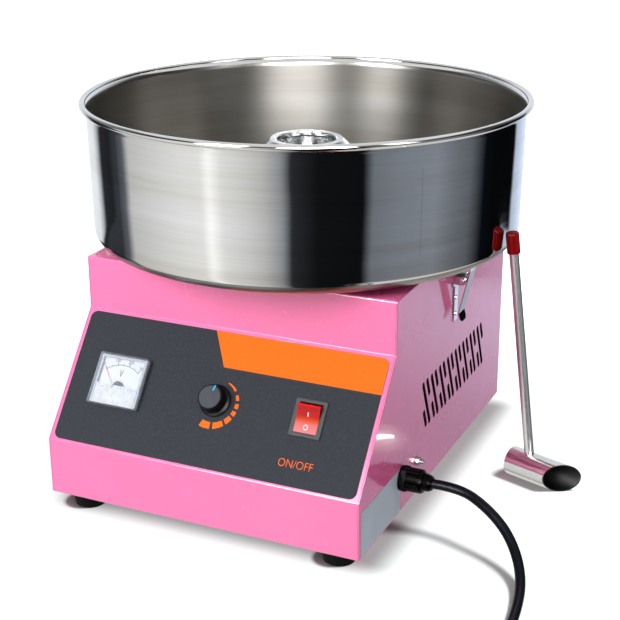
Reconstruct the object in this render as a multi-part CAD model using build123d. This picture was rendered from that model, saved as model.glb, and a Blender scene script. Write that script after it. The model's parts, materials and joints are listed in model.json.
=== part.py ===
from build123d import *
import os
from math import atan2, cos, hypot, pi, radians, sin, tan

# A table-top cotton candy machine, in millimetres. Everything is drawn about the spindle axis,
# with X to the machine's right, Y to its back and Z up from the table, and is moved at the end.

# Housing
BODY_WIDTH = 376
HALF = BODY_WIDTH / 2
SHEET = 1.5
BEND = 1.0
SEAM = 0.3
FRONT_Y = -284
BROW_Y = -186
REAR_Y = 190
BOTTOM_Z = 18
CHIN_Z = 84.5
BROW_Z = 209.5
TOP_Z = 269.5
FLANGE = 14
COVER_HALF = 181.9
COVER_FRONT = -178.9
COVER_REAR = 182.9
LIP = 7
LEDGE = 11

# The sloping control panel has coordinates of its own: x, s up the slope, n out of it
SLOPE = atan2(BROW_Z - CHIN_Z, BROW_Y - FRONT_Y)
SLOPE_LENGTH = hypot(BROW_Z - CHIN_Z, BROW_Y - FRONT_Y)
PANEL = Plane(
    origin=(0, FRONT_Y, CHIN_Z), x_dir=(1, 0, 0), z_dir=(0, -sin(SLOPE), cos(SLOPE))
)
OVERLAY = 0.6
OVERLAY_HALF = 182.5
OVERLAY_LOW = 2.8
OVERLAY_HIGH = 154.5
METER_X, METER_S = -120, 77.75
METER_WIDTH, METER_HEIGHT, METER_DEPTH = 62.5, 59.5, 8
PIVOT_S = 62.5
NEEDLE_REST = 127.3
NEEDLE_LENGTH = 36
KNOB_S = 77
SWITCH_X, SWITCH_S = 110.5, 76.4
ROCKER_TILT = 11
ROCKER_HALF_WIDTH = 13
ROCKER_HALF_LENGTH = 15.4
ROCKER_PIVOT_N = -1

# Louvre slots in the side panels
LOUVRE_COUNT = 8
LOUVRE_PITCH = 27.4
LOUVRE_LEAN = 24.1
SLOT_WIDTH = 7.0
LONG_SLOT = (-89.2, 116.8, 59.5)
UPPER_SLOT = (-84.2, 134.7, 24.3)
LOWER_SLOT = (-93.0, 99.3, 23.5)

# Feet, and the screws that hold them and the rear panel
FOOT_X = 155
FOOT_FRONT, FOOT_REAR = -257, 157
FOOT_RADIUS, FOOT_TREAD = 20, 17.5
FOOT_WELL = 6
FOOT_SCREW_RADIUS = 2.5
REAR_SCREW_RADIUS = 1.6
REAR_SCREW_X = 180
REAR_SCREW_Z = (40, 144, 248)
HOLE_ROOM = 0.1

# Bowl
RIM_RADIUS = 260
RIM_Z = 436
BEAD = 3.75
BOWL_SHEET = 1.0
BOWL_BOTTOM = 275.5
BOWL_FOOT_RADIUS = 249.8
BOWL_NECK_RADIUS = 252.3
BOWL_CORNER = 13
BOWL_SEAM_RADIUS = 235.8
BOWL_HOLE = 79
BOWL_LIP_Z = 279.5

# Spinner head, spindle and motor
HEAD_RADIUS = 60
HEAD_BASE_Z = 322
HEAD_TOP_Z = 384
MOUTH_RADIUS = 34.5
CROWN_RADIUS = 42.7
HEAD_SHEET = 1.2
BAND_SLOTS = 36
BAND_RADIUS = 58.4
CUP_RADIUS = 33
CUP_Z = 334
SPINDLE_RADIUS = 6
SPINDLE_Z = (118, 348)
RUNNING = 0.05
RING_Z = (289.5, 303.5)
MOTOR_RADIUS = 50
MOTOR_CAN_Z = (150, 238)
BEARING_RADIUS, BEARING_LENGTH = 16, 9
BELL_LIP, BELL_FACE = 9, 2
ROTOR_RADIUS = 36
ROTOR_Z = (160, 230)
BRACKET_Z, BRACKET_SHEET = 250, 2.5
DAMPER_X, DAMPER_Y = 62, 42
FAN_RADIUS, FAN_BLADES = 42, 8
COLLAR_RADIUS, COLLAR_TOP = 76, 312
HOLDER_X, HOLDER_HALF_WIDTH = (30, 62), 12

# Latches
PIN_X, PIN_Z, PIN_RADIUS = 199, 238, 1.5
EAR_OUTER, EAR_INNER, EAR_RADIUS = 11.8, 10.4, 4.6
LEVER_HALF_WIDTH, LEVER_SHEET = 10, 1.2
CATCH_X, CATCH_Z = 199.5, 263.5

# Cable gland, stud and rating plate on the right side
GLAND_Y, GLAND_Z = -164, 58.5
GLAND_END = 224
CORD_DIAMETER = 10.8
STUD_Y, STUD_Z = -118.5, 58

# Scoop
SCOOP_RADIUS, SCOOP_WALL = 17, 1.0
SCOOP_AT = (300, -4.6)
SCOOP_YAW = -19.2
SCOOP_BACK, MOUTH_NEAR, MOUTH_FAR = -39, 15.5, 46
ROD_RADIUS = 5.5
ROD_FOOT = Vector(286.9, 2.2, 17.1)
ROD_DIRECTION = Vector(-0.099, -0.081, 0.992).normalized()
ROD_LENGTH = 290
GRIP_RADIUS, GRIP_LENGTH = 7.5, 24

# Cord: hand-chosen points, then a coil and the short run to the plug
CORD_ROUTE = [
    (GLAND_END, GLAND_Y, GLAND_Z),
    (254.5, -161, 58.5),
    (289.7, -176.5, 50),
    (317, -192.5, 36),
    (336.2, -214.6, 20),
    (347.8, -242, 9),
    (355, -280, 5.6),
    (359, -320, 5.4),
    (362, -350, 5.4),
    (364.6, -380, 5.4),
]
COIL_X, COIL_Y, COIL_RADIUS = 420, -380, 50
TAIL_ROUTE = [
    (368, -399, 16.2),
    (374.5, -423, 14),
    (387, -447, 8),
    (407, -462, 8),
    (431, -467, 12),
]
PLUG_HEIGHT, PLUG_WIDTH = 24, 34


def box(x, y, z):
    """A box between two values on each axis."""
    size = [high - low for low, high in (x, y, z)]
    middle = [(low + high) / 2 for low, high in (x, y, z)]
    return Pos(*middle) * Box(*size)


def ring(outer, inner, z):
    """A tube about the Z axis between two heights; inner 0 makes it solid."""
    low, high = z
    body = Cylinder(outer, high - low)
    if inner:
        body -= Cylinder(inner, high - low)
    return Pos(0, 0, (low + high) / 2) * body


def group(solids):
    """Separate solids that share one node."""
    return Compound([part for solid in solids for part in solid.solids()])


def mirrored(shape):
    """The same piece on the machine's left side."""
    return mirror(shape, about=Plane.YZ)


def rounded(face, corner, radius):
    """A face with the corner nearest a point rounded."""
    return fillet(face.vertices().sort_by_distance(corner)[0], radius)


def folded(path, thickness, bends):
    """Cross-section of a sheet folded along a path of outside corners, its thickness on the left."""
    points = [Vector(*point) for point in path]
    runs = [(b - a).normalized() for a, b in zip(points, points[1:])]
    lefts = [Vector(-run.Y, run.X) for run in runs]
    inner = [points[0] + lefts[0] * thickness]
    for corner, before, after in zip(points[1:-1], lefts, lefts[1:]):
        inner.append(corner + (before + after) * (thickness / (1 + before.dot(after))))
    inner.append(points[-1] + lefts[-1] * thickness)
    face = make_face(Polyline(*points, *reversed(inner), close=True))
    for i, bend in enumerate(bends, start=1):
        left_turn = runs[i - 1].cross(runs[i]).Z > 0
        tight, wide = (inner[i], points[i]) if left_turn else (points[i], inner[i])
        face = rounded(face, tight, bend)
        face = rounded(face, wide, bend + thickness)
    return face


def turned(face):
    """A face drawn as radius and height, turned about the spindle axis."""
    return revolve(Plane.XZ * face, Axis.Z)


def across(face, half_width):
    """A face drawn as Y and Z, given a width across the machine."""
    return extrude(Plane.YZ * face, half_width, both=True)


# Housing


def front_panel():
    """Chin, slope and brow in one folded sheet, with its cut-outs."""
    path = [
        (FRONT_Y + FLANGE, BOTTOM_Z),
        (FRONT_Y, BOTTOM_Z),
        (FRONT_Y, CHIN_Z),
        (BROW_Y, BROW_Z),
        (BROW_Y, TOP_Z),
        (BROW_Y + LIP, TOP_Z),
    ]
    sheet = folded(list(reversed(path)), SHEET, [BEND] * 4)
    width = HALF - SHEET - SEAM
    panel = across(sheet, width)
    ledge_start = BROW_Y + LIP - SHEET
    panel += box(
        (-width, width), (ledge_start, ledge_start + LEDGE), (TOP_Z - 2 * SHEET, TOP_Z - SHEET)
    )
    return panel - PANEL * panel_cutouts()


def panel_cutouts():
    """Holes for the meter, the knob's bushing and the switch, in panel coordinates."""
    depth = 20
    meter = Pos(METER_X, METER_S) * Cylinder(26.5, depth)
    bushing = Pos(0, KNOB_S) * Cylinder(5, depth)
    switch = Pos(SWITCH_X, SWITCH_S) * Box(30.6, 36.6, depth)
    return meter + bushing + switch


def side_outline():
    corners = [
        (FRONT_Y, BOTTOM_Z),
        (FRONT_Y, CHIN_Z),
        (BROW_Y, BROW_Z),
        (BROW_Y, TOP_Z),
        (REAR_Y, TOP_Z),
        (REAR_Y, BOTTOM_Z),
    ]
    face = make_face(Polyline(*corners, close=True))
    return fillet(face.vertices(), BEND + SHEET)


def louvres():
    """Cutting bodies for the slots: long ones, and pairs of short ones between them."""
    plane = Plane.YZ.offset(HALF - 5)
    slots = []
    for i in range(LOUVRE_COUNT):
        for y, z, height in (LONG_SLOT, UPPER_SLOT, LOWER_SLOT):
            place = Pos(y + i * LOUVRE_PITCH, z) * Rot(0, 0, 90 + LOUVRE_LEAN)
            length = (height - SLOT_WIDTH) / cos(radians(LOUVRE_LEAN)) + SLOT_WIDTH
            slots.append(extrude(plane * place * SlotOverall(length, SLOT_WIDTH), 10))
    return slots


def side_panel():
    """The right side: plate, turned-in flanges and a ledge for the top cover."""
    inside = HALF - SHEET
    plate = extrude(Plane.YZ.offset(inside) * side_outline(), SHEET)
    outer_edges = plate.faces().sort_by(Axis.X)[-1].edges()
    plate = fillet(outer_edges, 0.7)
    rail = (COVER_FRONT, COVER_REAR)
    top_lip = box((COVER_HALF + SEAM, inside + 0.3), rail, (TOP_Z - SHEET, TOP_Z))
    ledge_x = (COVER_HALF - LEDGE, COVER_HALF + SEAM + SHEET)
    ledge = box(ledge_x, (-167, 171), (TOP_Z - 2 * SHEET, TOP_Z - SHEET))
    foot_y = (FRONT_Y + FLANGE + 2, REAR_Y - FLANGE - 2)
    foot = box((HALF - FLANGE, inside + 0.3), foot_y, (BOTTOM_Z, BOTTOM_Z + SHEET))
    rear_y = (REAR_Y - 2 * SHEET, REAR_Y - SHEET)
    rear = box((HALF - FLANGE, inside + 0.3), rear_y, (BOTTOM_Z + 8, TOP_Z - 8))
    slope = PANEL * box(
        (HALF - FLANGE, inside + 0.3), (8, SLOPE_LENGTH - 8), (-2 * SHEET, -SHEET)
    )
    panel = plate + top_lip + ledge + foot + rear + slope
    return panel - louvres()


def right_side_panel():
    gland = Pos(HALF, GLAND_Y, GLAND_Z) * Rot(0, 90, 0) * Cylinder(9.8, 10)
    stud = Pos(HALF, STUD_Y, STUD_Z) * Rot(0, 90, 0) * Cylinder(2.6, 10)
    return side_panel() - gland - stud


def rear_panel():
    width = HALF - SHEET - SEAM
    path = [
        (REAR_Y - LIP, TOP_Z),
        (REAR_Y, TOP_Z),
        (REAR_Y, BOTTOM_Z),
        (REAR_Y - FLANGE, BOTTOM_Z),
    ]
    panel = across(folded(list(reversed(path)), SHEET, [BEND] * 2), width)
    ledge_end = REAR_Y - LIP + SHEET
    ledge_z = (TOP_Z - 2 * SHEET, TOP_Z - SHEET)
    return panel + box((-width, width), (ledge_end - LEDGE, ledge_end), ledge_z)


def top_cover():
    middle = (COVER_FRONT + COVER_REAR) / 2
    outline = Pos(0, middle) * RectangleRounded(2 * COVER_HALF, COVER_REAR - COVER_FRONT, 6)
    outline -= Circle(COLLAR_RADIUS - 2)
    plate = extrude(Pos(0, 0, TOP_Z - SHEET) * outline, SHEET)
    top = plate.faces().sort_by(Axis.Z)[-1]
    return fillet(top.outer_wire().edges(), 0.5)


def base_plate():
    y = (FRONT_Y + SHEET + 0.5, REAR_Y - 2 * SHEET - 0.5)
    plate = box((-HALF + 4, HALF - 4), y, (BOTTOM_Z + SHEET, BOTTOM_Z + 2 * SHEET))
    hole = Cylinder(FOOT_SCREW_RADIUS + 2 * HOLE_ROOM, 10)
    holes = [Pos(x, foot_y, BOTTOM_Z) * hole for x, foot_y in foot_places()]
    return plate - holes


def foot_places():
    return [(x, y) for x in (-FOOT_X, FOOT_X) for y in (FOOT_FRONT, FOOT_REAR)]


def rubber_foot():
    """A tapered foot, hollow below for its screw head, with a boss that meets the base plate."""
    boss_z = BOTTOM_Z + SHEET
    bore = FOOT_SCREW_RADIUS + HOLE_ROOM
    profile = Polyline(
        (bore, FOOT_WELL), (7, FOOT_WELL), (7, 0), (FOOT_TREAD, 0), (FOOT_RADIUS, BOTTOM_Z),
        (8, BOTTOM_Z), (8, boss_z), (bore, boss_z), close=True,
    )
    face = rounded(make_face(profile), Vector(FOOT_TREAD, 0), 2)
    return turned(rounded(face, Vector(FOOT_RADIUS, BOTTOM_Z), 2))


def screw(head_radius, head_height, radius, length):
    """A pan head screw along Z: the head stands on z = 0 and the shank goes down."""
    shank = ring(radius, 0, (-length, 0))
    head = ring(head_radius, 0, (0, head_height))
    head = fillet(head.edges().sort_by(Axis.Z)[-1], head_height * 0.45)
    span, width, depth = head_radius * 1.1, 0.9, 1.6
    cross = Box(span, width, depth) + Box(width, span, depth)
    return shank + head - Pos(0, 0, head_height) * cross


def hex_nut(across_flats, height, bore):
    """A nut on the XY plane."""
    outline = RegularPolygon(across_flats / 2, 6, major_radius=False) - Circle(bore)
    return extrude(outline, height)


def housing_screws():
    """Foot screws with their nuts, and the screws of the rear panel."""
    solids = []
    for x, y in foot_places():
        foot_screw = Rot(180, 0, 0) * screw(4.6, 3, FOOT_SCREW_RADIUS, 20)
        solids.append(Pos(x, y, FOOT_WELL) * foot_screw)
        solids.append(Pos(x, y, BOTTOM_Z + 2 * SHEET) * hex_nut(8, 4, FOOT_SCREW_RADIUS))
    for x, z in rear_screw_places():
        rear_screw = Rot(-90, 0, 0) * screw(3.6, 2.2, REAR_SCREW_RADIUS, 9)
        solids.append(Pos(x, REAR_Y, z) * rear_screw)
    return group(solids)


def rear_screw_places():
    return [(x, z) for x in (-REAR_SCREW_X, REAR_SCREW_X) for z in REAR_SCREW_Z]


def rear_screw_holes():
    hole = Rot(90, 0, 0) * Cylinder(REAR_SCREW_RADIUS, 12)
    return [Pos(x, REAR_Y, z) * hole for x, z in rear_screw_places()]


# Control panel


def control_overlay():
    middle = (OVERLAY_LOW + OVERLAY_HIGH) / 2
    outline = RectangleRounded(2 * OVERLAY_HALF, OVERLAY_HIGH - OVERLAY_LOW, 8)
    sheet = extrude(Pos(0, middle) * outline, OVERLAY)
    return PANEL * (sheet - panel_cutouts())


def voltmeter_case():
    """The moulded cup behind the panel, and the square tray under the window."""
    cup = ring(26, 24, (-30, 1)) + ring(24, 0, (-30, -28))
    tray = box((-29.3, 29.3), (-27.8, 27.8), (OVERLAY, 2.2)) - ring(24, 0, (0, 3))
    bridge = box((-16, 16), (PIVOT_S - METER_S - 4, PIVOT_S - METER_S + 4), (-12, -6))
    bridge -= Pos(0, PIVOT_S - METER_S) * Cylinder(0.8 + RUNNING, 60)
    return PANEL * Pos(METER_X, METER_S) * (cup + tray + bridge)


def voltmeter_dial():
    sheet = box((-28.9, 28.9), (-27.4, 27.4), (2.2, 2.8))
    sheet -= Pos(0, PIVOT_S - METER_S) * Cylinder(3, 20)
    return PANEL * Pos(METER_X, METER_S) * sheet


def voltmeter_window():
    """The clear square hood, closed below the dial by a thicker cover strip."""
    outline = RectangleRounded(METER_WIDTH, METER_HEIGHT, 2.4)
    hood = extrude(Pos(0, 0, OVERLAY) * outline, METER_DEPTH)
    hood = chamfer(hood.faces().sort_by(Axis.Z)[-1].edges(), 1.6)
    hood -= box((-29.6, 29.6), (-28.1, 28.1), (0, OVERLAY + METER_DEPTH - 1.4))
    strip = box((-29.6, 29.6), (-28.1, -8.6), (5.4, OVERLAY + METER_DEPTH - 1.4))
    boss = Pos(0, -8.6) * ring(6, 0, (5.4, OVERLAY + METER_DEPTH - 1.4))
    return PANEL * Pos(METER_X, METER_S) * (hood + strip + boss)


def voltmeter_needle():
    """The pointer at its rest angle, on the shaft that turns in the case's bridge."""
    arm = box((0, NEEDLE_LENGTH), (-0.4, 0.4), (4, 4.4))
    hub = ring(2.4, 0, (3.4, 4.8)) + ring(0.8, 0, (-14, 4))
    return PANEL * Pos(METER_X, PIVOT_S) * Rot(0, 0, NEEDLE_REST) * (arm + hub)


def potentiometer():
    can = ring(12, 4, (-16, -SHEET - 1)) + ring(4.7, 3 + RUNNING, (-SHEET - 1, 4))
    can += ring(4.7, 3 + RUNNING, (-4, -SHEET - 1))
    nut = Pos(0, 0, OVERLAY) * hex_nut(13, 2.2, 4.7)
    lugs = [box((x - 1, x + 1), (-18, -11), (-9, -8)) for x in (-5, 0, 5)]
    return PANEL * Pos(0, KNOB_S) * (can + nut + lugs)


def potentiometer_shaft():
    return PANEL * Pos(0, KNOB_S) * ring(3, 0, (-14, 13.5))


def temperature_knob():
    """Skirt and fluted grip, hollow underneath and bored for the shaft."""
    profile = Polyline(
        (3, 5), (10, 5), (10, 2.6), (15.2, 2.6), (15.2, 1), (18, 1), (18, 3), (14.4, 4.6),
        (14, 16.2), (13.5, 16.8), (12.4, 16.8), (12.4, 15.8), (0, 15.8), (0, 13.5), (3, 13.5),
        close=True,
    )
    face = rounded(make_face(profile), Vector(18, 3), 0.8)
    knob = turned(rounded(face, Vector(14.4, 4.6), 1.5))
    flutes = [Rot(0, 0, i * 15) * Pos(14.7, 0, 14) * Cylinder(1.1, 16) for i in range(24)]
    return PANEL * Pos(0, KNOB_S) * (knob - flutes)


def knob_cap():
    disc = ring(12.4, 0, (15.8, 17))
    return PANEL * Pos(0, KNOB_S) * fillet(disc.edges().sort_by(Axis.Z)[-1], 0.5)


def switch_body():
    """Bezel, snap-in body and the cavity that the rocker swings in."""
    bezel = extrude(Pos(0, 0, OVERLAY) * RectangleRounded(37, 42, 2), 1.9)
    bezel = chamfer(bezel.faces().sort_by(Axis.Z)[-1].edges(), 0.8)
    shell = box((-15, 15), (-18, 18), (-22, OVERLAY))
    cavity = box((-13.3, 13.3), (-16.8, 16.8), (-14, 10))
    bores = Pos(0, 0, ROCKER_PIVOT_N) * Rot(0, 90, 0) * Cylinder(PIN_RADIUS + RUNNING, 28.6)
    blades = [box((x - 3, x + 3), (y - 0.4, y + 0.4), (-32, -22)) for x in (-7, 7) for y in (-9, 9)]
    return PANEL * Pos(SWITCH_X, SWITCH_S) * (bezel + shell - cavity - bores + blades)


def switch_rocker():
    """The rocker in its off position: the far end up, the near end down."""
    half, end_n, middle_n = ROCKER_HALF_LENGTH, 5.5, 3.2
    outline = Polyline(
        (-half, -6), (-half, end_n), (0, middle_n), (half, end_n), (half, -6), (0, -9), close=True
    )
    face = make_face(outline)
    for corner in ((-half, end_n), (half, end_n)):
        face = rounded(face, Vector(*corner), 0.9)
    body = extrude(Plane.YZ * face, ROCKER_HALF_WIDTH, both=True)
    pivots = Pos(0, 0, ROCKER_PIVOT_N) * Rot(0, 90, 0) * Cylinder(PIN_RADIUS, 28)
    tilt = Pos(0, 0, ROCKER_PIVOT_N) * Rot(ROCKER_TILT, 0, 0) * Pos(0, 0, -ROCKER_PIVOT_N)
    return PANEL * Pos(SWITCH_X, SWITCH_S) * tilt * (body + pivots)


# Right side fittings


def rating_plate():
    """A bare foil, cut out round the gland's flange."""
    foil = box((HALF, HALF + 0.3), (-279, -168.5), (20.5, 71.5))
    return foil - on_side(GLAND_Y, GLAND_Z) * Cylinder(14.3, 4)


def on_side(y, z):
    """A place on the right side's outer face, with local Z pointing out of it."""
    return Plane(origin=(HALF, y, z), x_dir=(0, 1, 0), z_dir=(1, 0, 0))


def cable_gland_body():
    body = ring(9.6, 6, (-12, 0)) + ring(14, 6, (0, 2)) + ring(10.5, 6, (2, 14))
    hexagon = extrude(Pos(0, 0, 2) * (RegularPolygon(12.6, 6, major_radius=False) - Circle(6)), 6)
    return on_side(GLAND_Y, GLAND_Z) * (body + hexagon)


def cable_gland_nut():
    """The domed clamping nut with its grip ribs; the cord fills its mouth."""
    end = GLAND_END - HALF
    profile = Polyline(
        (10.6, 8.6), (13.4, 8.6), (13.4, 24), (12, 26.5), (9.9, 27.2), (9.2, 33), (7.4, end),
        (CORD_DIAMETER / 2, end), (CORD_DIAMETER / 2, 20), (10.6, 15), close=True,
    )
    face = rounded(make_face(profile), Vector(9.2, 33), 3)
    face = rounded(face, Vector(13.4, 24), 2)
    nut = turned(face)
    grooves = [Rot(0, 0, i * 20) * Pos(14.2, 0, 15) * Cylinder(1.4, 13.5) for i in range(18)]
    return on_side(GLAND_Y, GLAND_Z) * (nut - grooves)


def gland_locknut():
    nut = hex_nut(24, 4, 9.7)
    return on_side(GLAND_Y, GLAND_Z) * Pos(0, 0, -SHEET - 4) * nut


def earth_stud():
    return on_side(STUD_Y, STUD_Z) * ring(2.5, 0, (-9, 9.5))


def earth_fasteners():
    solids = [
        Pos(0, 0, -SHEET - 4) * hex_nut(8, 4, 2.5),
        ring(5.5, 2.6, (0, 1)),
        Pos(0, 0, 1) * hex_nut(8, 3.6, 2.5),
        ring(4.8, 2.6, (4.6, 5.4)),
    ]
    return group(on_side(STUD_Y, STUD_Z) * solid for solid in solids)


# Bowl and its latches


def bowl_floor():
    """The flat bottom, with a low lip turned up round its hole."""
    path = [(BOWL_HOLE, BOWL_LIP_Z), (BOWL_HOLE, BOWL_BOTTOM), (BOWL_SEAM_RADIUS, BOWL_BOTTOM)]
    return turned(folded(path, BOWL_SHEET, [1]))


def bowl_wall():
    """The rolled wall: a rounded foot welded to the floor, and a rolled bead at the rim."""
    neck_z = RIM_Z - 12
    bead_z = RIM_Z - BEAD
    path = [
        (BOWL_SEAM_RADIUS, BOWL_BOTTOM),
        (BOWL_FOOT_RADIUS, BOWL_BOTTOM),
        (BOWL_NECK_RADIUS, neck_z),
        (RIM_RADIUS - 2 * BEAD + BOWL_SHEET, bead_z),
    ]
    wall = turned(folded(path, BOWL_SHEET, [BOWL_CORNER, 10]))
    bead = Pos(0, 0, bead_z) * Torus(RIM_RADIUS - BEAD, BEAD)
    return wall + bead


def bowl_catch():
    """A bent tab welded under the bowl, with a lip that the lever's hook holds down."""
    path = [
        (CATCH_X + 3, CATCH_Z), (CATCH_X, CATCH_Z), (CATCH_X, BOWL_BOTTOM), (CATCH_X - 15.5, BOWL_BOTTOM)
    ]
    face = folded(path, SHEET, [0.5, 0.5])
    return extrude(Plane.XZ * face, 8, both=True)


def bowl_seat_ring():
    return ring(104, 84, (TOP_Z, BOWL_BOTTOM - 0.2))


def latch_base():
    """A strip riveted to the side, with two ears for the pivot pin."""
    width = (-EAR_OUTER, EAR_OUTER)
    strip = box((HALF, HALF + SHEET), (-6, 6), (186, 246))
    strip += box((HALF, HALF + SHEET), width, (230, 246))
    ear = extrude(Plane.XZ * (Pos(PIN_X, PIN_Z) * Circle(EAR_RADIUS)), EAR_OUTER, both=True)
    ear += box((HALF, PIN_X), width, (PIN_Z - EAR_RADIUS, PIN_Z + EAR_RADIUS))
    ear -= box((HALF + SHEET, 210), (-EAR_INNER, EAR_INNER), (220, 260))
    rivet = Rot(0, 90, 0) * ring(2.6, 0, (0, 1))
    rivets = [Pos(HALF + SHEET, 0, z) * rivet for z in (194, 214)]
    pin = Pos(PIN_X, 0, PIN_Z) * Rot(90, 0, 0) * Cylinder(PIN_RADIUS, 30)
    return strip + ear + rivets - pin


def latch_lever():
    """Thumb tab, straight arm, and a hook turned in at the top; side flanges carry the pin."""
    path = [(199.5, 187.5), (196.2, 198), (208.5, 250), (209, 267.7), (203.2, 267.7)]
    face = folded(path, LEVER_SHEET, [3, 6, 1])
    arm = extrude(Plane.XZ * face, LEVER_HALF_WIDTH, both=True)
    tab_corners = arm.edges().filter_by(Axis.Y, reverse=True).sort_by(Axis.Z)[:4]
    short = [edge for edge in tab_corners if edge.length < 2]
    arm = fillet(short, 5.5) if short else arm
    inside = LEVER_HALF_WIDTH - LEVER_SHEET
    flange = extrude(Plane.XZ * (Pos(PIN_X, PIN_Z) * Circle(3.6)), LEVER_HALF_WIDTH, both=True)
    flange += box((PIN_X, 204.6), (-LEVER_HALF_WIDTH, LEVER_HALF_WIDTH), (PIN_Z - 3.6, PIN_Z + 3.6))
    flange -= box((PIN_X - 8, 204.2), (-inside, inside), (220, 260))
    pin = Pos(PIN_X, 0, PIN_Z) * Rot(90, 0, 0) * Cylinder(PIN_RADIUS + RUNNING, 30)
    return arm + flange - pin


def latch_pin():
    """A pin across the ears, headed at both ends."""
    shank = ring(PIN_RADIUS, 0, (-EAR_OUTER, EAR_OUTER))
    head = ring(2.4, 0, (EAR_OUTER, EAR_OUTER + 1))
    pin = shank + head + mirror(head, about=Plane.XY)
    return Pos(PIN_X, 0, PIN_Z) * Rot(90, 0, 0) * pin


def latch_spring():
    """A close-wound spring round the pin, as one body with a ridge for each turn."""
    wire, turns = 1.2, 8
    start = -wire * turns / 2
    outline = Polyline((1.8, start), (1.8, -start), (2.8, -start), (2.8, start), close=True)
    face = make_face(outline)
    for i in range(turns):
        face += Pos(2.8, start + (i + 0.5) * wire) * Circle(wire / 2)
    coil = revolve(Plane.XZ * face, Axis.Z)
    return Pos(PIN_X, 0, PIN_Z) * Rot(90, 0, 0) * coil


def pair(piece):
    """A piece and its mirror image, as two solids of one node."""
    return group([piece, mirrored(piece)])


# Spinner


def head_cap():
    path = [
        (HEAD_RADIUS, 361),
        (HEAD_RADIUS, HEAD_TOP_Z - (HEAD_RADIUS - CROWN_RADIUS)),
        (CROWN_RADIUS, HEAD_TOP_Z),
        (MOUTH_RADIUS, HEAD_TOP_Z),
        (MOUTH_RADIUS, HEAD_TOP_Z - 5),
    ]
    return turned(folded(path, HEAD_SHEET, [2, 1.5, 1]))


def heater_band():
    """The slotted band that the molten sugar leaves through."""
    band = ring(BAND_RADIUS, BAND_RADIUS - HEAD_SHEET, (HEAD_BASE_Z + 3, 366))
    slot = Pos(BAND_RADIUS, 0, 348.5) * Box(4, 1.2, 26)
    return band - [Rot(0, 0, i * 360 / BAND_SLOTS) * slot for i in range(BAND_SLOTS)]


def head_base():
    disc = ring(HEAD_RADIUS, SPINDLE_RADIUS, (HEAD_BASE_Z, HEAD_BASE_Z + 3))
    return disc + ring(HEAD_RADIUS, HEAD_RADIUS - HEAD_SHEET, (HEAD_BASE_Z + 3, 336))


def sugar_cup():
    path = [(SPINDLE_RADIUS, CUP_Z), (CUP_RADIUS, CUP_Z), (37.4, 377)]
    return turned(folded(path, HEAD_SHEET, [4]))


def heating_element():
    """A sheathed ring on four posts that stand on the head's base."""
    element = ring(54, 50, (342, 352))
    post = Pos(52, 0) * ring(2.4, 0, (HEAD_BASE_Z + 3, 342))
    return element + [Rot(0, 0, i * 90) * post for i in range(4)]


def head_fasteners():
    """Standoffs under the sugar cup, and the nut that holds it on the spindle."""
    standoff = Pos(22, 0) * ring(3, 0, (HEAD_BASE_Z + 3, CUP_Z))
    standoffs = [Rot(0, 0, i * 120) * standoff for i in range(3)]
    nut = Pos(0, 0, CUP_Z + HEAD_SHEET) * hex_nut(17, 8, SPINDLE_RADIUS)
    return group([nut, *standoffs])


def spindle():
    shaft = ring(SPINDLE_RADIUS, 0, SPINDLE_Z)
    return chamfer(shaft.edges().sort_by(Axis.Z)[-1], 1)


def slip_rings():
    """Two contact rings on an insulating sleeve, each as high as its brush."""
    sleeve = ring(14, SPINDLE_RADIUS, (280, 316))
    return group([sleeve, *(ring(18, 14, (z - 3.5, z + 3.5)) for z in RING_Z)])


def motor_rotor():
    return ring(ROTOR_RADIUS, SPINDLE_RADIUS, ROTOR_Z)


def cooling_fan():
    hub = ring(12, SPINDLE_RADIUS, (122, 136)) + ring(FAN_RADIUS, 12, (134, 136))
    blade = box((11, FAN_RADIUS), (-0.8, 0.8), (124, 134))
    return hub + [Rot(0, 0, i * 360 / FAN_BLADES) * blade for i in range(FAN_BLADES)]


# Motor and what carries it


def motor_stator():
    low, high = MOTOR_CAN_Z
    can = ring(MOTOR_RADIUS, MOTOR_RADIUS - SHEET, MOTOR_CAN_Z)
    return can + ring(MOTOR_RADIUS - 1, ROTOR_RADIUS + 1, (low + 12, high - 10))


def motor_end_bells():
    low, high = MOTOR_CAN_Z
    upper = ring(MOTOR_RADIUS, BEARING_RADIUS, (high, BRACKET_Z - BELL_FACE))
    upper += ring(MOTOR_RADIUS, BELL_LIP, (BRACKET_Z - BELL_FACE, BRACKET_Z))
    lower = ring(MOTOR_RADIUS, BEARING_RADIUS, (low - BEARING_LENGTH, low))
    lower += ring(MOTOR_RADIUS, BELL_LIP, (low - BEARING_LENGTH - BELL_FACE, low - BEARING_LENGTH))
    return group([upper, lower])


def motor_bearings():
    low, high = MOTOR_CAN_Z
    bore = SPINDLE_RADIUS + RUNNING
    upper = ring(BEARING_RADIUS, bore, (high, BRACKET_Z - BELL_FACE))
    lower = ring(BEARING_RADIUS, bore, (low - BEARING_LENGTH, low))
    return group([upper, lower])


def damper_places():
    return [(x, y) for x in (-DAMPER_X, DAMPER_X) for y in (-DAMPER_Y, DAMPER_Y)]


def motor_bracket():
    plate = Pos(0, 0, BRACKET_Z) * extrude(RectangleRounded(150, 110, 8) - Circle(20), BRACKET_SHEET)
    return plate - [Pos(x, y, BRACKET_Z) * Cylinder(2.6, 10) for x, y in damper_places()]


def motor_dampers():
    low, high = BRACKET_Z + BRACKET_SHEET, TOP_Z - SHEET
    waist = (low + high) / 2
    profile = Polyline((2.6, low), (8, low), (6.2, waist), (8, high), (2.6, high), close=True)
    damper = turned(make_face(profile))
    return group(Pos(x, y) * damper for x, y in damper_places())


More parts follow.
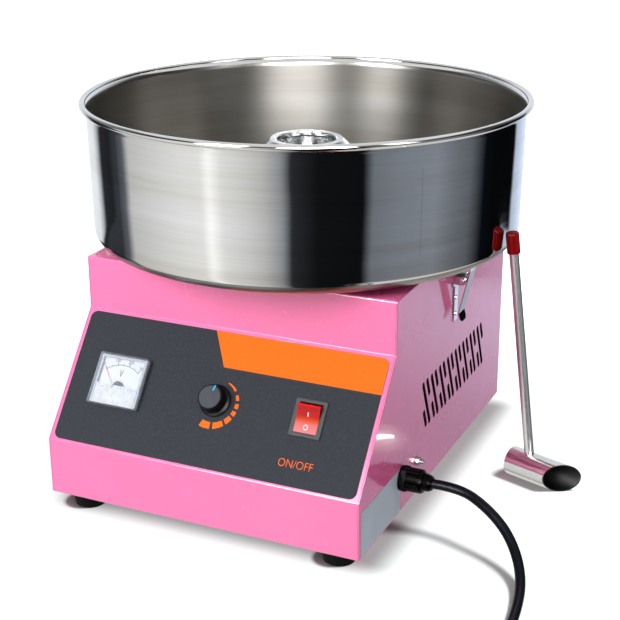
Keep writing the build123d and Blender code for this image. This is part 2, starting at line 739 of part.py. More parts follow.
def centre_collar():
    """The upstand that keeps sugar away from the motor, inside the bowl's hole."""
    wall = ring(COLLAR_RADIUS, COLLAR_RADIUS - HEAD_SHEET, (TOP_Z, COLLAR_TOP))
    return wall + ring(COLLAR_RADIUS + 6, COLLAR_RADIUS - HEAD_SHEET, (TOP_Z, TOP_Z + SHEET))


def brush_holder():
    """A block that guides both brushes, standing on a foot under the top cover's hole."""
    start, end = HOLDER_X
    width = (-HOLDER_HALF_WIDTH, HOLDER_HALF_WIDTH)
    block = box(HOLDER_X, width, (TOP_Z - SHEET, COLLAR_TOP))
    foot = box((start, COLLAR_RADIUS - 2.2), width, (TOP_Z - SHEET - 3, TOP_Z - SHEET))
    slots = [box((start - 1, end - 10), (-3.6, 3.6), (z - 2.6, z + 2.6)) for z in RING_Z]
    return block + foot - slots


def carbon_brushes():
    length = (18.3, 40)
    return group(box(length, (-3.5, 3.5), (z - 2.5, z + 2.5)) for z in RING_Z)


def control_board():
    """The speed and heat controller: board, spacers, heat sink and capacitors."""
    floor = BOTTOM_Z + 2 * SHEET
    board = box((-60, 40), (-210, -130), (floor + 10, floor + 11.6))
    corners = [(x, y) for x in (-54, 34) for y in (-204, -136)]
    spacers = [Pos(x, y) * ring(3, 0, (floor, floor + 10)) for x, y in corners]
    sink = box((-50, -10), (-165, -140), (floor + 11.6, floor + 36))
    sink -= [box((x, x + 2.4), (-166, -139), (floor + 15, floor + 37)) for x in range(-47, -12, 5)]
    cans = [Pos(x, -190) * ring(7, 0, (floor + 11.6, floor + 32)) for x in (0, 20)]
    return group([board, sink, *spacers, *cans])


# Scoop

SCOOP_PLANE = Plane(
    origin=(SCOOP_AT[0], SCOOP_AT[1], SCOOP_RADIUS + 0.1),
    x_dir=(cos(radians(SCOOP_YAW)), sin(radians(SCOOP_YAW)), 0),
    z_dir=(0, 0, 1),
)


def lying(radius, start, end):
    """A cylinder along the scoop's axis."""
    return Pos((start + end) / 2, 0, 0) * Rot(0, 90, 0) * Cylinder(radius, end - start)


def scoop_tube():
    """A tube closed at the back and cut at a slant to form the mouth."""
    long_end = MOUTH_FAR + 20
    body = lying(SCOOP_RADIUS, SCOOP_BACK, long_end)
    body -= lying(SCOOP_RADIUS - SCOOP_WALL, SCOOP_BACK + SCOOP_WALL, long_end + 1)
    reach = SCOOP_RADIUS * 2
    slant = (MOUTH_FAR - MOUTH_NEAR) / (2 * SCOOP_RADIUS)
    middle = (MOUTH_FAR + MOUTH_NEAR) / 2
    cutter = Polyline(
        (middle - slant * reach, -reach), (middle + slant * reach, reach), (200, reach),
        (200, -reach), close=True,
    )
    body -= Pos(0, 0, -reach) * extrude(make_face(cutter), 2 * reach, dir=(0, 0, 1))
    return SCOOP_PLANE * body


def scoop_rod():
    """The handle, its foot shaped to the tube that it is welded on."""
    plane = Plane(origin=ROD_FOOT, z_dir=ROD_DIRECTION)
    rod = plane * ring(ROD_RADIUS, 0, (0, ROD_LENGTH - 2))
    return rod - SCOOP_PLANE * lying(SCOOP_RADIUS, SCOOP_BACK - 10, 60)


def scoop_grip():
    """The soft end cap on the rod."""
    plane = Plane(origin=ROD_FOOT + ROD_DIRECTION * ROD_LENGTH, z_dir=ROD_DIRECTION)
    cap = ring(GRIP_RADIUS, 0, (-GRIP_LENGTH + 2, 2))
    cap = fillet(cap.edges().sort_by(Axis.Z)[-1], 2.2)
    return plane * (cap - ring(ROD_RADIUS, 0, (-GRIP_LENGTH + 1, -2)))


# Cord


def corner_radii(points):
    """The largest even arc at each inner point: 0.45 of the shorter run over tan of half the turn."""
    vectors = [Vector(*point) for point in points]
    radii = []
    for a, b, c in zip(vectors, vectors[1:], vectors[2:]):
        turn = radians((b - a).get_angle(c - b))
        shorter = min((b - a).length, (c - b).length)
        radii.append(0.45 * shorter / tan(turn / 2))
    return radii


def round_tube(points, name):
    """A round tube along straight runs joined by tangent arcs."""
    radii = corner_radii(points)
    path = FilletPolyline(*points, radius=radii)
    start = Plane(origin=path @ 0, z_dir=path % 0)
    tube = sweep(start * Circle(CORD_DIAMETER / 2), path=path)
    ideal = pi * (CORD_DIAMETER / 2) ** 2 * path.length
    runs = [(Vector(*b) - Vector(*a)).length for a, b in zip(points, points[1:])]
    print(name, "length", round(path.length, 1), "volume share", round(tube.volume / ideal, 4))
    print("  radii", [round(r) for r in radii], "runs", [round(r) for r in runs])
    return tube


def cord_coil():
    """The outer shape of the wound turns, two wide and two high."""
    outline = Pos(COIL_RADIUS, CORD_DIAMETER) * RectangleRounded(
        2 * CORD_DIAMETER, 2 * CORD_DIAMETER, CORD_DIAMETER / 2 - 0.1
    )
    return Pos(COIL_X, COIL_Y) * turned(outline)


def plug_plane():
    """Where the cord enters the plug, with local Z along the cord."""
    end = Vector(*TAIL_ROUTE[-1])
    heading = end - Vector(*TAIL_ROUTE[-2])
    level = Vector(heading.X, heading.Y, 0).normalized()
    return Plane(origin=end, x_dir=level.cross(Vector(0, 0, 1)), z_dir=level)


def plug():
    """A moulded two-pin plug: tapered relief, then a rounded body that lies on the table."""
    relief = loft([Circle(CORD_DIAMETER / 2 + 1), Pos(0, 0, 24) * Circle(9)])
    body = Pos(0, 0, 22) * extrude(RectangleRounded(PLUG_WIDTH, PLUG_HEIGHT - 0.2, 8), 34)
    body = fillet(body.faces().sort_by(Axis.Z)[0].edges(), 3)
    return plug_plane() * (relief + body)


def plug_pins():
    pins = [Pos(x, 0) * ring(2.4, 0, (56, 75)) for x in (-9.5, 9.5)]
    return group(plug_plane() * fillet(pin.edges().sort_by(Axis.Z)[-1], 1.2) for pin in pins)


CORD_NODES = {
    "power_cord": round_tube(CORD_ROUTE, "power_cord"),
    "cord_coil": cord_coil(),
    "cord_tail": round_tube(TAIL_ROUTE, "cord_tail"),
    "plug": plug(),
    "plug_pins": plug_pins(),
}

LEVER = latch_lever()

NODES = {
    "front_panel": front_panel(),
    "right_side_panel": right_side_panel() - rear_screw_holes(),
    "left_side_panel": mirrored(side_panel()) - rear_screw_holes(),
    "rear_panel": rear_panel() - rear_screw_holes(),
    "top_cover": top_cover(),
    "base_plate": base_plate(),
    "rubber_feet": group(Pos(x, y) * rubber_foot() for x, y in foot_places()),
    "housing_screws": housing_screws(),
    "control_overlay": control_overlay(),
    "rating_plate": rating_plate(),
    "voltmeter_case": voltmeter_case(),
    "voltmeter_dial": voltmeter_dial(),
    "voltmeter_window": voltmeter_window(),
    "voltmeter_needle": voltmeter_needle(),
    "potentiometer": potentiometer(),
    "potentiometer_shaft": potentiometer_shaft(),
    "temperature_knob": temperature_knob(),
    "knob_cap": knob_cap(),
    "switch_body": switch_body(),
    "switch_rocker": switch_rocker(),
    "cable_gland_body": group([cable_gland_body(), gland_locknut()]),
    "cable_gland_nut": cable_gland_nut(),
    "earth_stud": earth_stud(),
    "earth_fasteners": earth_fasteners(),
    "bowl_floor": bowl_floor(),
    "bowl_wall": bowl_wall(),
    "bowl_catches": pair(bowl_catch()),
    "bowl_seat_ring": bowl_seat_ring(),
    "latch_bases": pair(latch_base()),
    "latch_lever_right": LEVER,
    "latch_lever_left": mirrored(LEVER),
    "latch_pins": pair(latch_pin()),
    "latch_springs": pair(latch_spring()),
    "head_cap": head_cap(),
    "heater_band": heater_band(),
    "head_base": head_base(),
    "sugar_cup": sugar_cup(),
    "heating_element": heating_element(),
    "head_fasteners": head_fasteners(),
    "spindle": spindle(),
    "slip_rings": slip_rings(),
    "motor_rotor": motor_rotor(),
    "cooling_fan": cooling_fan(),
    "motor_stator": motor_stator(),
    "motor_end_bells": motor_end_bells(),
    "motor_bearings": motor_bearings(),
    "motor_bracket": motor_bracket(),
    "motor_dampers": motor_dampers(),
    "centre_collar": centre_collar(),
    "brush_holder": brush_holder(),
    "carbon_brushes": carbon_brushes(),
    "control_board": control_board(),
    "scoop_tube": scoop_tube(),
    "scoop_rod": scoop_rod(),
    "scoop_grip": scoop_grip(),
}

# The origin goes to the middle of the machine's box, on the table; the cord doesn't count
BOXES = [shape.bounding_box() for shape in NODES.values()]
MIDDLE_X = (min(b.min.X for b in BOXES) + max(b.max.X for b in BOXES)) / 2
MIDDLE_Y = (min(b.min.Y for b in BOXES) + max(b.max.Y for b in BOXES)) / 2
print("origin in spindle coordinates", round(MIDDLE_X, 4), round(MIDDLE_Y, 4))

os.makedirs("parts", exist_ok=True)
for name, shape in {**NODES, **CORD_NODES}.items():
    export_step(Pos(-MIDDLE_X, -MIDDLE_Y) * shape, f"parts/{name}.step")
print(len(NODES) + len(CORD_NODES), "nodes")
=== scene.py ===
import json
from math import atan2, cos, pi, radians, sin

import bmesh
import bpy
from mathutils import Matrix, Vector

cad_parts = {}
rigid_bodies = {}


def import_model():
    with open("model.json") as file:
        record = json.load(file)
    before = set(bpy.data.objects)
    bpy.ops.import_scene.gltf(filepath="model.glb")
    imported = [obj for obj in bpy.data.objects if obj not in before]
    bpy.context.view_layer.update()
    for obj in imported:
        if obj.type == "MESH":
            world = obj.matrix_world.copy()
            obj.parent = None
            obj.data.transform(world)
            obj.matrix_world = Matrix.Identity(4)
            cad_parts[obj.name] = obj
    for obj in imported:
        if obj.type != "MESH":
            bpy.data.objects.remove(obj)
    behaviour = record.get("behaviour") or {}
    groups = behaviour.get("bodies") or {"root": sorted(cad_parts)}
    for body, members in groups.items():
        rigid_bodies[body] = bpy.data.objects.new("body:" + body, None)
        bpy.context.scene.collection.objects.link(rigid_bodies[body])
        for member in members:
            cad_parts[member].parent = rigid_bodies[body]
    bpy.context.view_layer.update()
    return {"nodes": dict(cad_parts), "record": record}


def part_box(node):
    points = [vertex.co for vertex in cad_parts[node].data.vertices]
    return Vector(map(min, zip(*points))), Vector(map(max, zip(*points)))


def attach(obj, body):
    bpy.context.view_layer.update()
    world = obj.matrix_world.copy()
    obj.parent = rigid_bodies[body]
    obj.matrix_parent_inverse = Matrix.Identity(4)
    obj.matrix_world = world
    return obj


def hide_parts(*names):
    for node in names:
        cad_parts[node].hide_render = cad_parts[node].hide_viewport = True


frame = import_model()
MM = 0.001

# Places are given in millimetres about the spindle axis, as the part itself is drawn
SPINDLE_LOW, SPINDLE_HIGH = (Vector(corner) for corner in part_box("spindle"))
AXIS = (SPINDLE_LOW + SPINDLE_HIGH) / 2
AXIS.z = 0

# Camera
CAMERA_AT = (652.1, -1408.86, 742.95)
CAMERA_YAW, CAMERA_PITCH, CAMERA_ROLL = 24.72, 20.266, -0.245
CAMERA_LENS, SENSOR, CAMERA_REACH = 78.787, 36, 100

# Control panel, in coordinates of its own: x, s up the slope, n out of it
FRONT_Y, CHIN_Z, BROW_Y, BROW_Z = -284, 84.5, -186, 209.5
SLOPE = atan2(BROW_Z - CHIN_Z, BROW_Y - FRONT_Y)
OVERLAY = 0.6
INK_LOW, INK_HIGH = -0.05, 0.08
PRINT = (OVERLAY + INK_LOW, OVERLAY + INK_HIGH)
METER_X, METER_S, PIVOT_S = -120, 77.75, 62.5
METER_HALF = 27.8
KNOB_S = 77
SWITCH_X, SWITCH_S = 110.5, 76.4
ROCKER_TILT, ROCKER_PIVOT_N, ROCKER_HALF_LENGTH = 11, -1, 15.4
ROCKER_MIDDLE_N, ROCKER_END_N = 3.2, 5.5

# Side panels: the skin, and the field of its louvre slots, whose walls get painted shade
SIDE_X, SIDE_SKIN, SIDE_DEPTH = 188, 0.08, 1.8
VENT_FRONT_Y, VENT_TOP_Z = -165, 180

# Bowl
RIM_RADIUS, RIM_Z, BEAD = 260, 436, 3.75
BOWL_SHEET, BOWL_BOTTOM = 1.0, 275.5
BOWL_FOOT_RADIUS, BOWL_NECK_RADIUS = 249.8, 252.3
BOWL_NECK_Z = RIM_Z - 12
BOWL_FLARE = (BOWL_NECK_RADIUS - BOWL_FOOT_RADIUS) / (BOWL_NECK_Z - BOWL_BOTTOM)
BOWL_HOLE, BOWL_LIP_Z = 79, 279.5
WALL_SEAM_ANGLE = -37.5
LATHE_STEPS, BEAD_STEPS = 256, 20

# Scoop: its tube lies on the table
SCOOP_RADIUS, SCOOP_WALL, SCOOP_LIFT = 17, 1.0, 0.1
SCOOP_AT, SCOOP_YAW = (300, -4.6), -19.2

# Cord: the listed points of the part's cord, then its coil and the run to the plug
CORD_DIAMETER, CORD_LENGTH = 10.8, 1665
CORD_ROUTE = [
    (224, -164, 58.5),
    (254.5, -161, 58.5),
    (289.7, -176.5, 50),
    (317, -192.5, 36),
    (336.2, -214.6, 20),
    (347.8, -242, 9),
    (355, -280, 5.6),
    (359, -320, 5.4),
    (362, -350, 5.4),
]
COIL_X, COIL_Y = 420, -380
COIL_RADII = (55.4, 44.6)
COIL_LAYERS = (5.4, 16.2)
COIL_STEPS, COIL_CHANGE_STEPS = 16, 3
TAIL_ROUTE = [
    (374.5, -423, 14),
    (387, -447, 8),
    (407, -462, 8),
    (431, -467, 12),
]

# Lamps: place, what they face, diameter in metres, and power
LAMP_TARGET, SHADE_TARGET = (0, -60, 200), (100, -100, 0)
FRONT_LAMP = ((-1300, -2000, 1500), LAMP_TARGET, 1.6, 84)
TOP_LAMP = ((-300, 300, 2600), LAMP_TARGET, 2.0, 16)
SHADE_LAMP = ((2350, 450, 4000), SHADE_TARGET, 1.25, 245)
# What casts a shadow on the floor beside the cord; the housing has a painted shadow instead, a soft dark
# line on the floor at its foot
SHADOW_NODES = (
    "rubber_feet", "cable_gland_body", "cable_gland_nut", "plug", "plug_pins", "scoop_tube",
)

# Floor: reach and fade to plain white in metres, and its white to the camera and to the rest
FLOOR_REACH = 40.0
FLOOR_WHITE, FLOOR_BOUNCE = (0.80, 0.86, 0.85), 0.52
FLOOR_FADE_AT, FLOOR_FADE = (200, -120), (0.42, 0.75)
# The painted shadow, a dark line on the floor at the housing's foot: tone, width in metres, and the
# rectangle that it follows
PAINTED_SHADOW_TONE, PAINTED_SHADOW_WIDTH = 0.28, 0.042
PAINTED_SHADOW_MIDDLE, PAINTED_SHADOW_HALF = (6, -35), (178, 215)

# The room as polished steel mirrors it: (direction in degrees from +X, brightness, coolness)
ROOM = [
    (-180, 0.07, 1), (-174, 0.15, 1), (-169, 0.66, 0), (-150, 0.82, 0), (-132, 0.95, 0),
    (-121, 1.00, 0), (-116, 1.30, 0), (-109, 0.95, 0), (-96, 0.78, 0), (-87, 0.62, 0),
    (-78, 0.36, 0.5), (-73, 0.03, 1), (-60, 0.008, 1), (-36, 0.006, 1), (-31, 0.22, 1),
    (-18, 0.27, 1), (4, 0.31, 1), (17, 0.21, 1), (27, 0.16, 1), (35, 0.05, 1), (39, 0.006, 4),
    (48, 0.003, 1), (71, 0.003, 1), (74, 0.68, 1.4), (88, 0.92, 1.6), (100, 0.97, 0.8),
    (150, 0.98, 0.3), (156, 0.60, 0.5), (161, 0.03, 1), (172, 0.02, 1), (177, 0.05, 1),
]
# The same above eye level: the lamps that streak the brushed inside of the bowl
GALLERY = [
    (-180, 0.20, 0.4), (-160, 0.05, 0), (-130, 0.06, 0), (-121, 0.20, 0), (-117, 20.0, 0),
    (-101, 20.0, 0), (-96, 0.15, 0), (-80, 0.15, 0), (-74, 20.0, 0), (-47, 20.0, 0),
    (-40, 0.20, 0), (-26, 0.15, 0), (-22, 3.00, 0), (-12, 3.00, 0), (-8, 0.12, 0),
    (24, 0.04, 0), (60, 0.06, 0), (88, 0.90, 0.4), (140, 0.90, 0.4), (165, 0.25, 0.4),
]
CEILING, AMBIENT = 0.90, 0.50
GROUND = (0.86, 0.83, 0.78)
# Where each zone of the room starts and is full: as the z of a direction, or its angle in degrees
GALLERY_FROM, CEILING_FROM = (0.05, 0.15), (0.62, 0.72)
GROUND_FROM, GROUND_AHEAD = (-0.46, -0.58), (-40, -30)
SIDE_FROM = (50, 62)
SIDE_LEAN, SIDE_LEAN_FROM = 14, (-0.320, -0.334)
SIDE_DIM, SIDE_DIM_FROM = 0.45, (-0.33, -0.43)


def at(x, y, z):
    """A place in the row frame, in metres, from millimetres about the spindle axis."""
    return AXIS + Vector((x, y, z)) * MM


def on_panel(x, s, n=0.0):
    """A place on the sloping panel."""
    y = FRONT_Y + s * cos(SLOPE) - n * sin(SLOPE)
    return at(x, y, CHIN_Z + s * sin(SLOPE) + n * cos(SLOPE))


# Node helpers for materials and the world


class Nodes:
    """A node tree with short calls for the nodes used here."""

    def __init__(self, tree):
        self.tree = tree
        self.tree.nodes.clear()

    def add(self, kind, **settings):
        node = self.tree.nodes.new(kind)
        for name, value in settings.items():
            setattr(node, name, value)
        return node

    def link(self, source, target):
        self.tree.links.new(source, target)

    def feed(self, socket, value):
        """A socket gets a value, or a link from another node's output."""
        if isinstance(value, bpy.types.NodeSocket):
            self.link(value, socket)
        else:
            socket.default_value = value

    def math(self, operation, *values):
        node = self.add("ShaderNodeMath", operation=operation)
        for socket, value in zip(node.inputs, values):
            self.feed(socket, value)
        return node.outputs[0]

    def vector(self, operation, *values):
        node = self.add("ShaderNodeVectorMath", operation=operation)
        for socket, value in zip(node.inputs, values):
            self.feed(socket, value)
        scalar = operation in ("DOT_PRODUCT", "DISTANCE", "LENGTH")
        return node.outputs["Value" if scalar else "Vector"]

    def reach(self, first, second):
        """The length of two parts at a right angle."""
        squares = [self.math("POWER", value, 2) for value in (first, second)]
        return self.math("SQRT", self.math("ADD", *squares))

    def object_place(self):
        """Object coordinates; the node objects all sit at the row frame's origin."""
        return self.add("ShaderNodeTexCoord").outputs["Object"]

    def place_from(self, point):
        """Object coordinates, measured from a point of the part."""
        return self.vector("SUBTRACT", self.object_place(), point)

    def split(self, vector):
        node = self.add("ShaderNodeSeparateXYZ")
        self.link(vector, node.inputs[0])
        return node.outputs

    def place(self, scale=(1, 1, 1)):
        """Object coordinates, scaled."""
        mapping = self.add("ShaderNodeMapping")
        self.link(self.object_place(), mapping.inputs["Vector"])
        mapping.inputs["Scale"].default_value = scale
        return mapping.outputs["Vector"]

    def noise(self, scale, detail=2.0, vector=None):
        node = self.add("ShaderNodeTexNoise")
        node.inputs["Scale"].default_value = scale
        node.inputs["Detail"].default_value = detail
        self.link(vector or self.place(), node.inputs["Vector"])
        return node.outputs["Fac"]

    def ramp(self, factor, stops):
        """A colour ramp; its stops are (position, colour or grey level)."""
        node = self.add("ShaderNodeValToRGB")
        band = node.color_ramp
        while len(band.elements) < len(stops):
            band.elements.new(1.0)
        for element, (position, colour) in zip(band.elements, stops):
            element.position = position
            element.color = rgba(colour)
        self.link(factor, node.inputs["Fac"])
        return node.outputs["Color"]

    def mix(self, factor, first, second, blend="MIX"):
        node = self.add("ShaderNodeMix", data_type="RGBA", blend_type=blend)
        self.feed(node.inputs["Factor"], factor)
        for name, value in (("A", first), ("B", second)):
            socket = [s for s in node.inputs if s.name == name and s.type == "RGBA"][0]
            self.feed(socket, value if isinstance(value, bpy.types.NodeSocket) else rgba(value))
        return [s for s in node.outputs if s.type == "RGBA"][0]

    def bump(self, height, strength, distance=0.0002):
        node = self.add("ShaderNodeBump")
        node.inputs["Strength"].default_value = strength
        node.inputs["Distance"].default_value = distance
        self.link(height, node.inputs["Height"])
        return node.outputs["Normal"]

    def step(self, value, low, high):
        """A smooth step from 0 at low to 1 at high."""
        node = self.add("ShaderNodeMapRange", interpolation_type="SMOOTHSTEP")
        self.link(value, node.inputs["Value"])
        node.inputs["From Min"].default_value = low
        node.inputs["From Max"].default_value = high
        return node.outputs["Result"]


def rgba(colour):
    """A colour with full alpha, from three parts or one grey level."""
    if isinstance(colour, (int, float)):
        return (colour, colour, colour, 1.0)
    return (*colour, 1.0)


def material(name, **values):
    """A Principled material; returns it with its nodes and shader for further links."""
    made = bpy.data.materials.new(name)
    made.use_nodes = True
    nodes = Nodes(made.node_tree)
    shader = nodes.add("ShaderNodeBsdfPrincipled")
    output = nodes.add("ShaderNodeOutputMaterial")
    nodes.link(shader.outputs[0], output.inputs["Surface"])
    for socket, value in values.items():
        shader.inputs[socket.replace("_", " ")].default_value = value
    return made, nodes, shader


def mottled(nodes, shader, colour, spread, scale, detail=3.0):
    """Slow, slight colour change over the surface."""
    dark = [c * (1 - spread) for c in colour]
    light = [min(1.0, c * (1 + spread)) for c in colour]
    tint = nodes.ramp(nodes.noise(scale, detail), [(0.35, dark), (0.65, light)])
    nodes.link(tint, shader.inputs["Base Color"])


def rough(nodes, shader, low, high, scale, detail=3.0):
    """Roughness that changes a little from place to place."""
    level = nodes.ramp(nodes.noise(scale, detail), [(0.3, low), (0.7, high)])
    nodes.link(level, shader.inputs["Roughness"])


# Materials


def pink_paint():
    """Glossy powder coat, slightly uneven in tone; the walls of the louvre slots get painted shade, near
    black.
    """
    made, nodes, shader = material("pink_paint", Coat_Weight=1.0, Coat_Roughness=0.03, Coat_IOR=1.5)
    rough(nodes, shader, 0.2, 0.28, 60)
    x, y, z = nodes.split(nodes.object_place())
    depth = nodes.math("ABSOLUTE", nodes.math("SUBTRACT", x, AXIS.x))
    under = nodes.math("LESS_THAN", depth, (SIDE_X - SIDE_SKIN) * MM)
    near = nodes.math("GREATER_THAN", depth, (SIDE_X - SIDE_DEPTH) * MM)
    behind = nodes.math("GREATER_THAN", y, at(0, VENT_FRONT_Y, 0).y)
    low = nodes.math("LESS_THAN", z, VENT_TOP_Z * MM)
    within = nodes.math("MULTIPLY", under, near)
    painted_slot_shade = nodes.math("MULTIPLY", within, nodes.math("MULTIPLY", behind, low))
    light, dark = (0.86, 0.15, 0.37), (0.83, 0.145, 0.355)
    coat = nodes.ramp(nodes.noise(30, 3.0), [(0.35, dark), (0.65, light)])
    # Painted shade: the walls of the louvre slots, inside the skin, are near black.
    nodes.link(nodes.mix(painted_slot_shade, coat, (0.012, 0.001, 0.004)), shader.inputs["Base Color"])
    return made


def brushed(name, colour, low, high, along):
    """Steel with fine lines along one direction: along is the scale on each axis."""
    strength, spread = 0.06, 0.04
    made, nodes, shader = material(name, Metallic=1.0)
    lines = nodes.noise(1.0, 4.0, nodes.place(along))
    dark = [c * (1 - spread) for c in colour]
    nodes.link(nodes.ramp(lines, [(0.35, dark), (0.65, colour)]), shader.inputs["Base Color"])
    nodes.link(nodes.ramp(lines, [(0.3, low), (0.7, high)]), shader.inputs["Roughness"])
    nodes.link(nodes.bump(lines, strength, 0.00005), shader.inputs["Normal"])
    return made


def plain_metal(name, colour, low=0.2, high=0.35, scale=200):
    made, nodes, shader = material(name, Metallic=1.0)
    mottled(nodes, shader, colour, 0.06, scale)
    rough(nodes, shader, low, high, scale)
    nodes.link(nodes.bump(nodes.noise(scale * 4), 0.04), shader.inputs["Normal"])
    return made


def plastic(name, colour, low=0.3, high=0.42, gloss=0.3):
    made, nodes, shader = material(name, Specular_IOR_Level=gloss)
    mottled(nodes, shader, colour, 0.08, 80)
    rough(nodes, shader, low, high, 150)
    nodes.link(nodes.bump(nodes.noise(900), 0.08, 0.0001), shader.inputs["Normal"])
    return made


def overlay_film():
    """Dark screen-printed sheet with a fine light fleck."""
    made, nodes, shader = material("overlay_film", Roughness=0.55, Specular_IOR_Level=0.12)
    fleck = nodes.noise(900, 4.0)
    colour = nodes.ramp(fleck, [
        (0.3, (0.0165, 0.019, 0.024)), (0.6, (0.0245, 0.028, 0.034)), (0.75, (0.056, 0.058, 0.064)),
    ])
    nodes.link(colour, shader.inputs["Base Color"])
    nodes.link(nodes.bump(fleck, 0.1, 0.0001), shader.inputs["Normal"])
    return made


def within_bowl(nodes):
    """1 on the bowl's inner faces, which are left satin and darkened with painted shade, and 0 on its
    polished outside.
    """
    x, y, z = nodes.split(nodes.place_from(at(0, 0, BOWL_BOTTOM)))
    radius = nodes.reach(x, y)
    wall = nodes.math("MULTIPLY_ADD", z, BOWL_FLARE, (BOWL_FOOT_RADIUS - BOWL_SHEET / 2) * MM)
    inner = nodes.math("LESS_THAN", radius, wall)
    above = nodes.math("GREATER_THAN", z, BOWL_SHEET / 2 * MM)
    return nodes.math("MULTIPLY", inner, above)


def bowl_steel():
    """Sheet steel, brushed round the bowl: the streaks run level. The inside is darkened and warmed with
    painted shade.
    """
    made, nodes, shader = material("bowl_steel", Metallic=1.0, Anisotropic=0.6, Anisotropic_Rotation=0.25)
    tangent = nodes.add("ShaderNodeTangent", direction_type="RADIAL", axis="Z")
    nodes.link(tangent.outputs[0], shader.inputs["Tangent"])
    lines = nodes.noise(1.0, 5.0, nodes.place((6, 6, 900)))
    bands = nodes.noise(1.0, 4.0, nodes.place((2.5, 2.5, 45)))
    polished = nodes.ramp(lines, [(0.3, 0.035), (0.7, 0.07)])
    satin = nodes.ramp(lines, [(0.3, 0.300), (0.7, 0.315)])
    inside = within_bowl(nodes)
    nodes.link(nodes.mix(inside, polished, satin), shader.inputs["Roughness"])
    tint = nodes.ramp(bands, [
        (0.3, (0.66, 0.64, 0.62)), (0.5, (0.74, 0.74, 0.74)), (0.7, (0.80, 0.81, 0.83)),
    ])
    streak = nodes.ramp(lines, [(0.3, 0.93), (0.7, 1.0)])
    bright = nodes.mix(1.0, tint, streak, "MULTIPLY")
    # Painted shade: the inside of the bowl gets a darker, warmer base colour.
    painted_shade_inside = nodes.mix(1.0, bright, (0.36, 0.348, 0.332), "MULTIPLY")
    nodes.link(nodes.mix(inside, bright, painted_shade_inside), shader.inputs["Base Color"])
    waves = nodes.noise(1.0, 1.0, nodes.place((7, 7, 15)))
    nodes.link(nodes.bump(waves, 1.0, 0.0007), shader.inputs["Normal"])
    return made


def clear_plastic():
    """A clear cover: it shows only where it mirrors, more so at a low angle."""
    made, nodes, shader = material("clear_plastic", Metallic=0.15)
    mottled(nodes, shader, (0.74, 0.78, 0.84), 0.01, 40)
    rough(nodes, shader, 0.02, 0.06, 90)
    fresnel = nodes.add("ShaderNodeFresnel")
    fresnel.inputs["IOR"].default_value = 1.49
    cover = nodes.math("MULTIPLY_ADD", fresnel.outputs[0], 0.9, 0.06)
    nodes.link(cover, shader.inputs["Alpha"])
    return made


def needle_paint():
    """Red over the outer half of the pointer, bare metal within."""
    made, nodes, shader = material("red_needle", Roughness=0.45)
    pivot, red_from = on_panel(METER_X, PIVOT_S, 4), 22
    reach = nodes.vector("DISTANCE", nodes.object_place(), pivot)
    part = nodes.math("GREATER_THAN", reach, red_from * MM)
    tint = nodes.mix(part, (0.62, 0.60, 0.62), (0.95, 0.30, 0.33))
    wear = nodes.mix(nodes.math("MULTIPLY", nodes.noise(900), 0.1), tint, (0.3, 0.2, 0.2))
    nodes.link(wear, shader.inputs["Base Color"])
    return made


def rocker_red():
    """Translucent red moulding: bands of colour from its raised end to its pressed end, which are painted
    light: pale pink and orange at the lower end, and a painted highlight along the upper edge.
    """
    made, nodes, shader = material("rocker_red", Roughness=0.25, Specular_IOR_Level=0.05)
    low = on_panel(SWITCH_X, SWITCH_S - ROCKER_HALF_LENGTH, 0)
    along = Vector((0, cos(SLOPE), sin(SLOPE)))
    run = nodes.vector("DOT_PRODUCT", nodes.place_from(low), along)
    share = nodes.math("DIVIDE", run, 2 * ROCKER_HALF_LENGTH * MM)
    grain = nodes.math("MULTIPLY", nodes.math("SUBTRACT", nodes.noise(700), 0.5), 0.06)
    # Painted light: pale pink and orange towards the lower end, red above, and a bright band at the upper
    # edge as a painted highlight.
    colour = nodes.ramp(nodes.math("ADD", share, grain), [
        (0.0, (0.62, 0.20, 0.22)), (0.28, (0.60, 0.15, 0.15)), (0.40, (0.58, 0.07, 0.02)),
        (0.56, (0.36, 0.006, 0.006)), (0.86, (0.29, 0.002, 0.003)), (0.93, (0.60, 0.002, 0.002)),
    ])
    nodes.link(colour, shader.inputs["Base Color"])
    return made


def grip_red():
    made, nodes, shader = material("grip_red", Roughness=0.18, Specular_IOR_Level=0.15)
    mottled(nodes, shader, (0.34, 0.0005, 0.002), 0.12, 120)
    nodes.link(nodes.bump(nodes.noise(160, 1.0), 0.25, 0.0006), shader.inputs["Normal"])
    return made


def label_foil():
    """Blank satin foil, slightly uneven in tone."""
    made, nodes, shader = material("plate_film", Roughness=0.45, Specular_IOR_Level=0.25)
    mottled(nodes, shader, (0.48, 0.54, 0.62), 0.05, 25)
    nodes.link(nodes.bump(nodes.noise(500), 0.03), shader.inputs["Normal"])
    return made


def print_ink(name, colour):
    made, nodes, shader = material(name, Roughness=0.5, Specular_IOR_Level=0.2)
    mottled(nodes, shader, colour, 0.06, 700)
    return made


def dial_white():
    made, nodes, shader = material("meter_dial", Roughness=0.5)
    mottled(nodes, shader, (0.66, 0.69, 0.72), 0.015, 60)
    return made


def frosted():
    made, nodes, shader = material("meter_frost", Roughness=0.4)
    mottled(nodes, shader, (0.60, 0.62, 0.65), 0.10, 160)
    return made


def cord_jacket():
    """Satin vinyl: a soft cool painted sheen along the middle of the cord, where it faces the eye."""
    made, nodes, shader = material("cord_black", Specular_IOR_Level=0.10)
    rough(nodes, shader, 0.20, 0.28, 150)
    facing = nodes.add("ShaderNodeLayerWeight")
    facing.inputs["Blend"].default_value = 0.5
    # Painted highlight: the base colour is lighter where the cord faces the eye and near black at its
    # edges.
    sheen = nodes.ramp(facing.outputs["Facing"], [
        (0.0, (0.055, 0.068, 0.085)), (0.035, (0.022, 0.028, 0.038)), (0.13, (0.003, 0.004, 0.006)),
    ])
    grain = nodes.ramp(nodes.noise(300), [(0.35, 0.85), (0.65, 1.0)])
    nodes.link(nodes.mix(1.0, sheen, grain, "MULTIPLY"), shader.inputs["Base Color"])
    return made


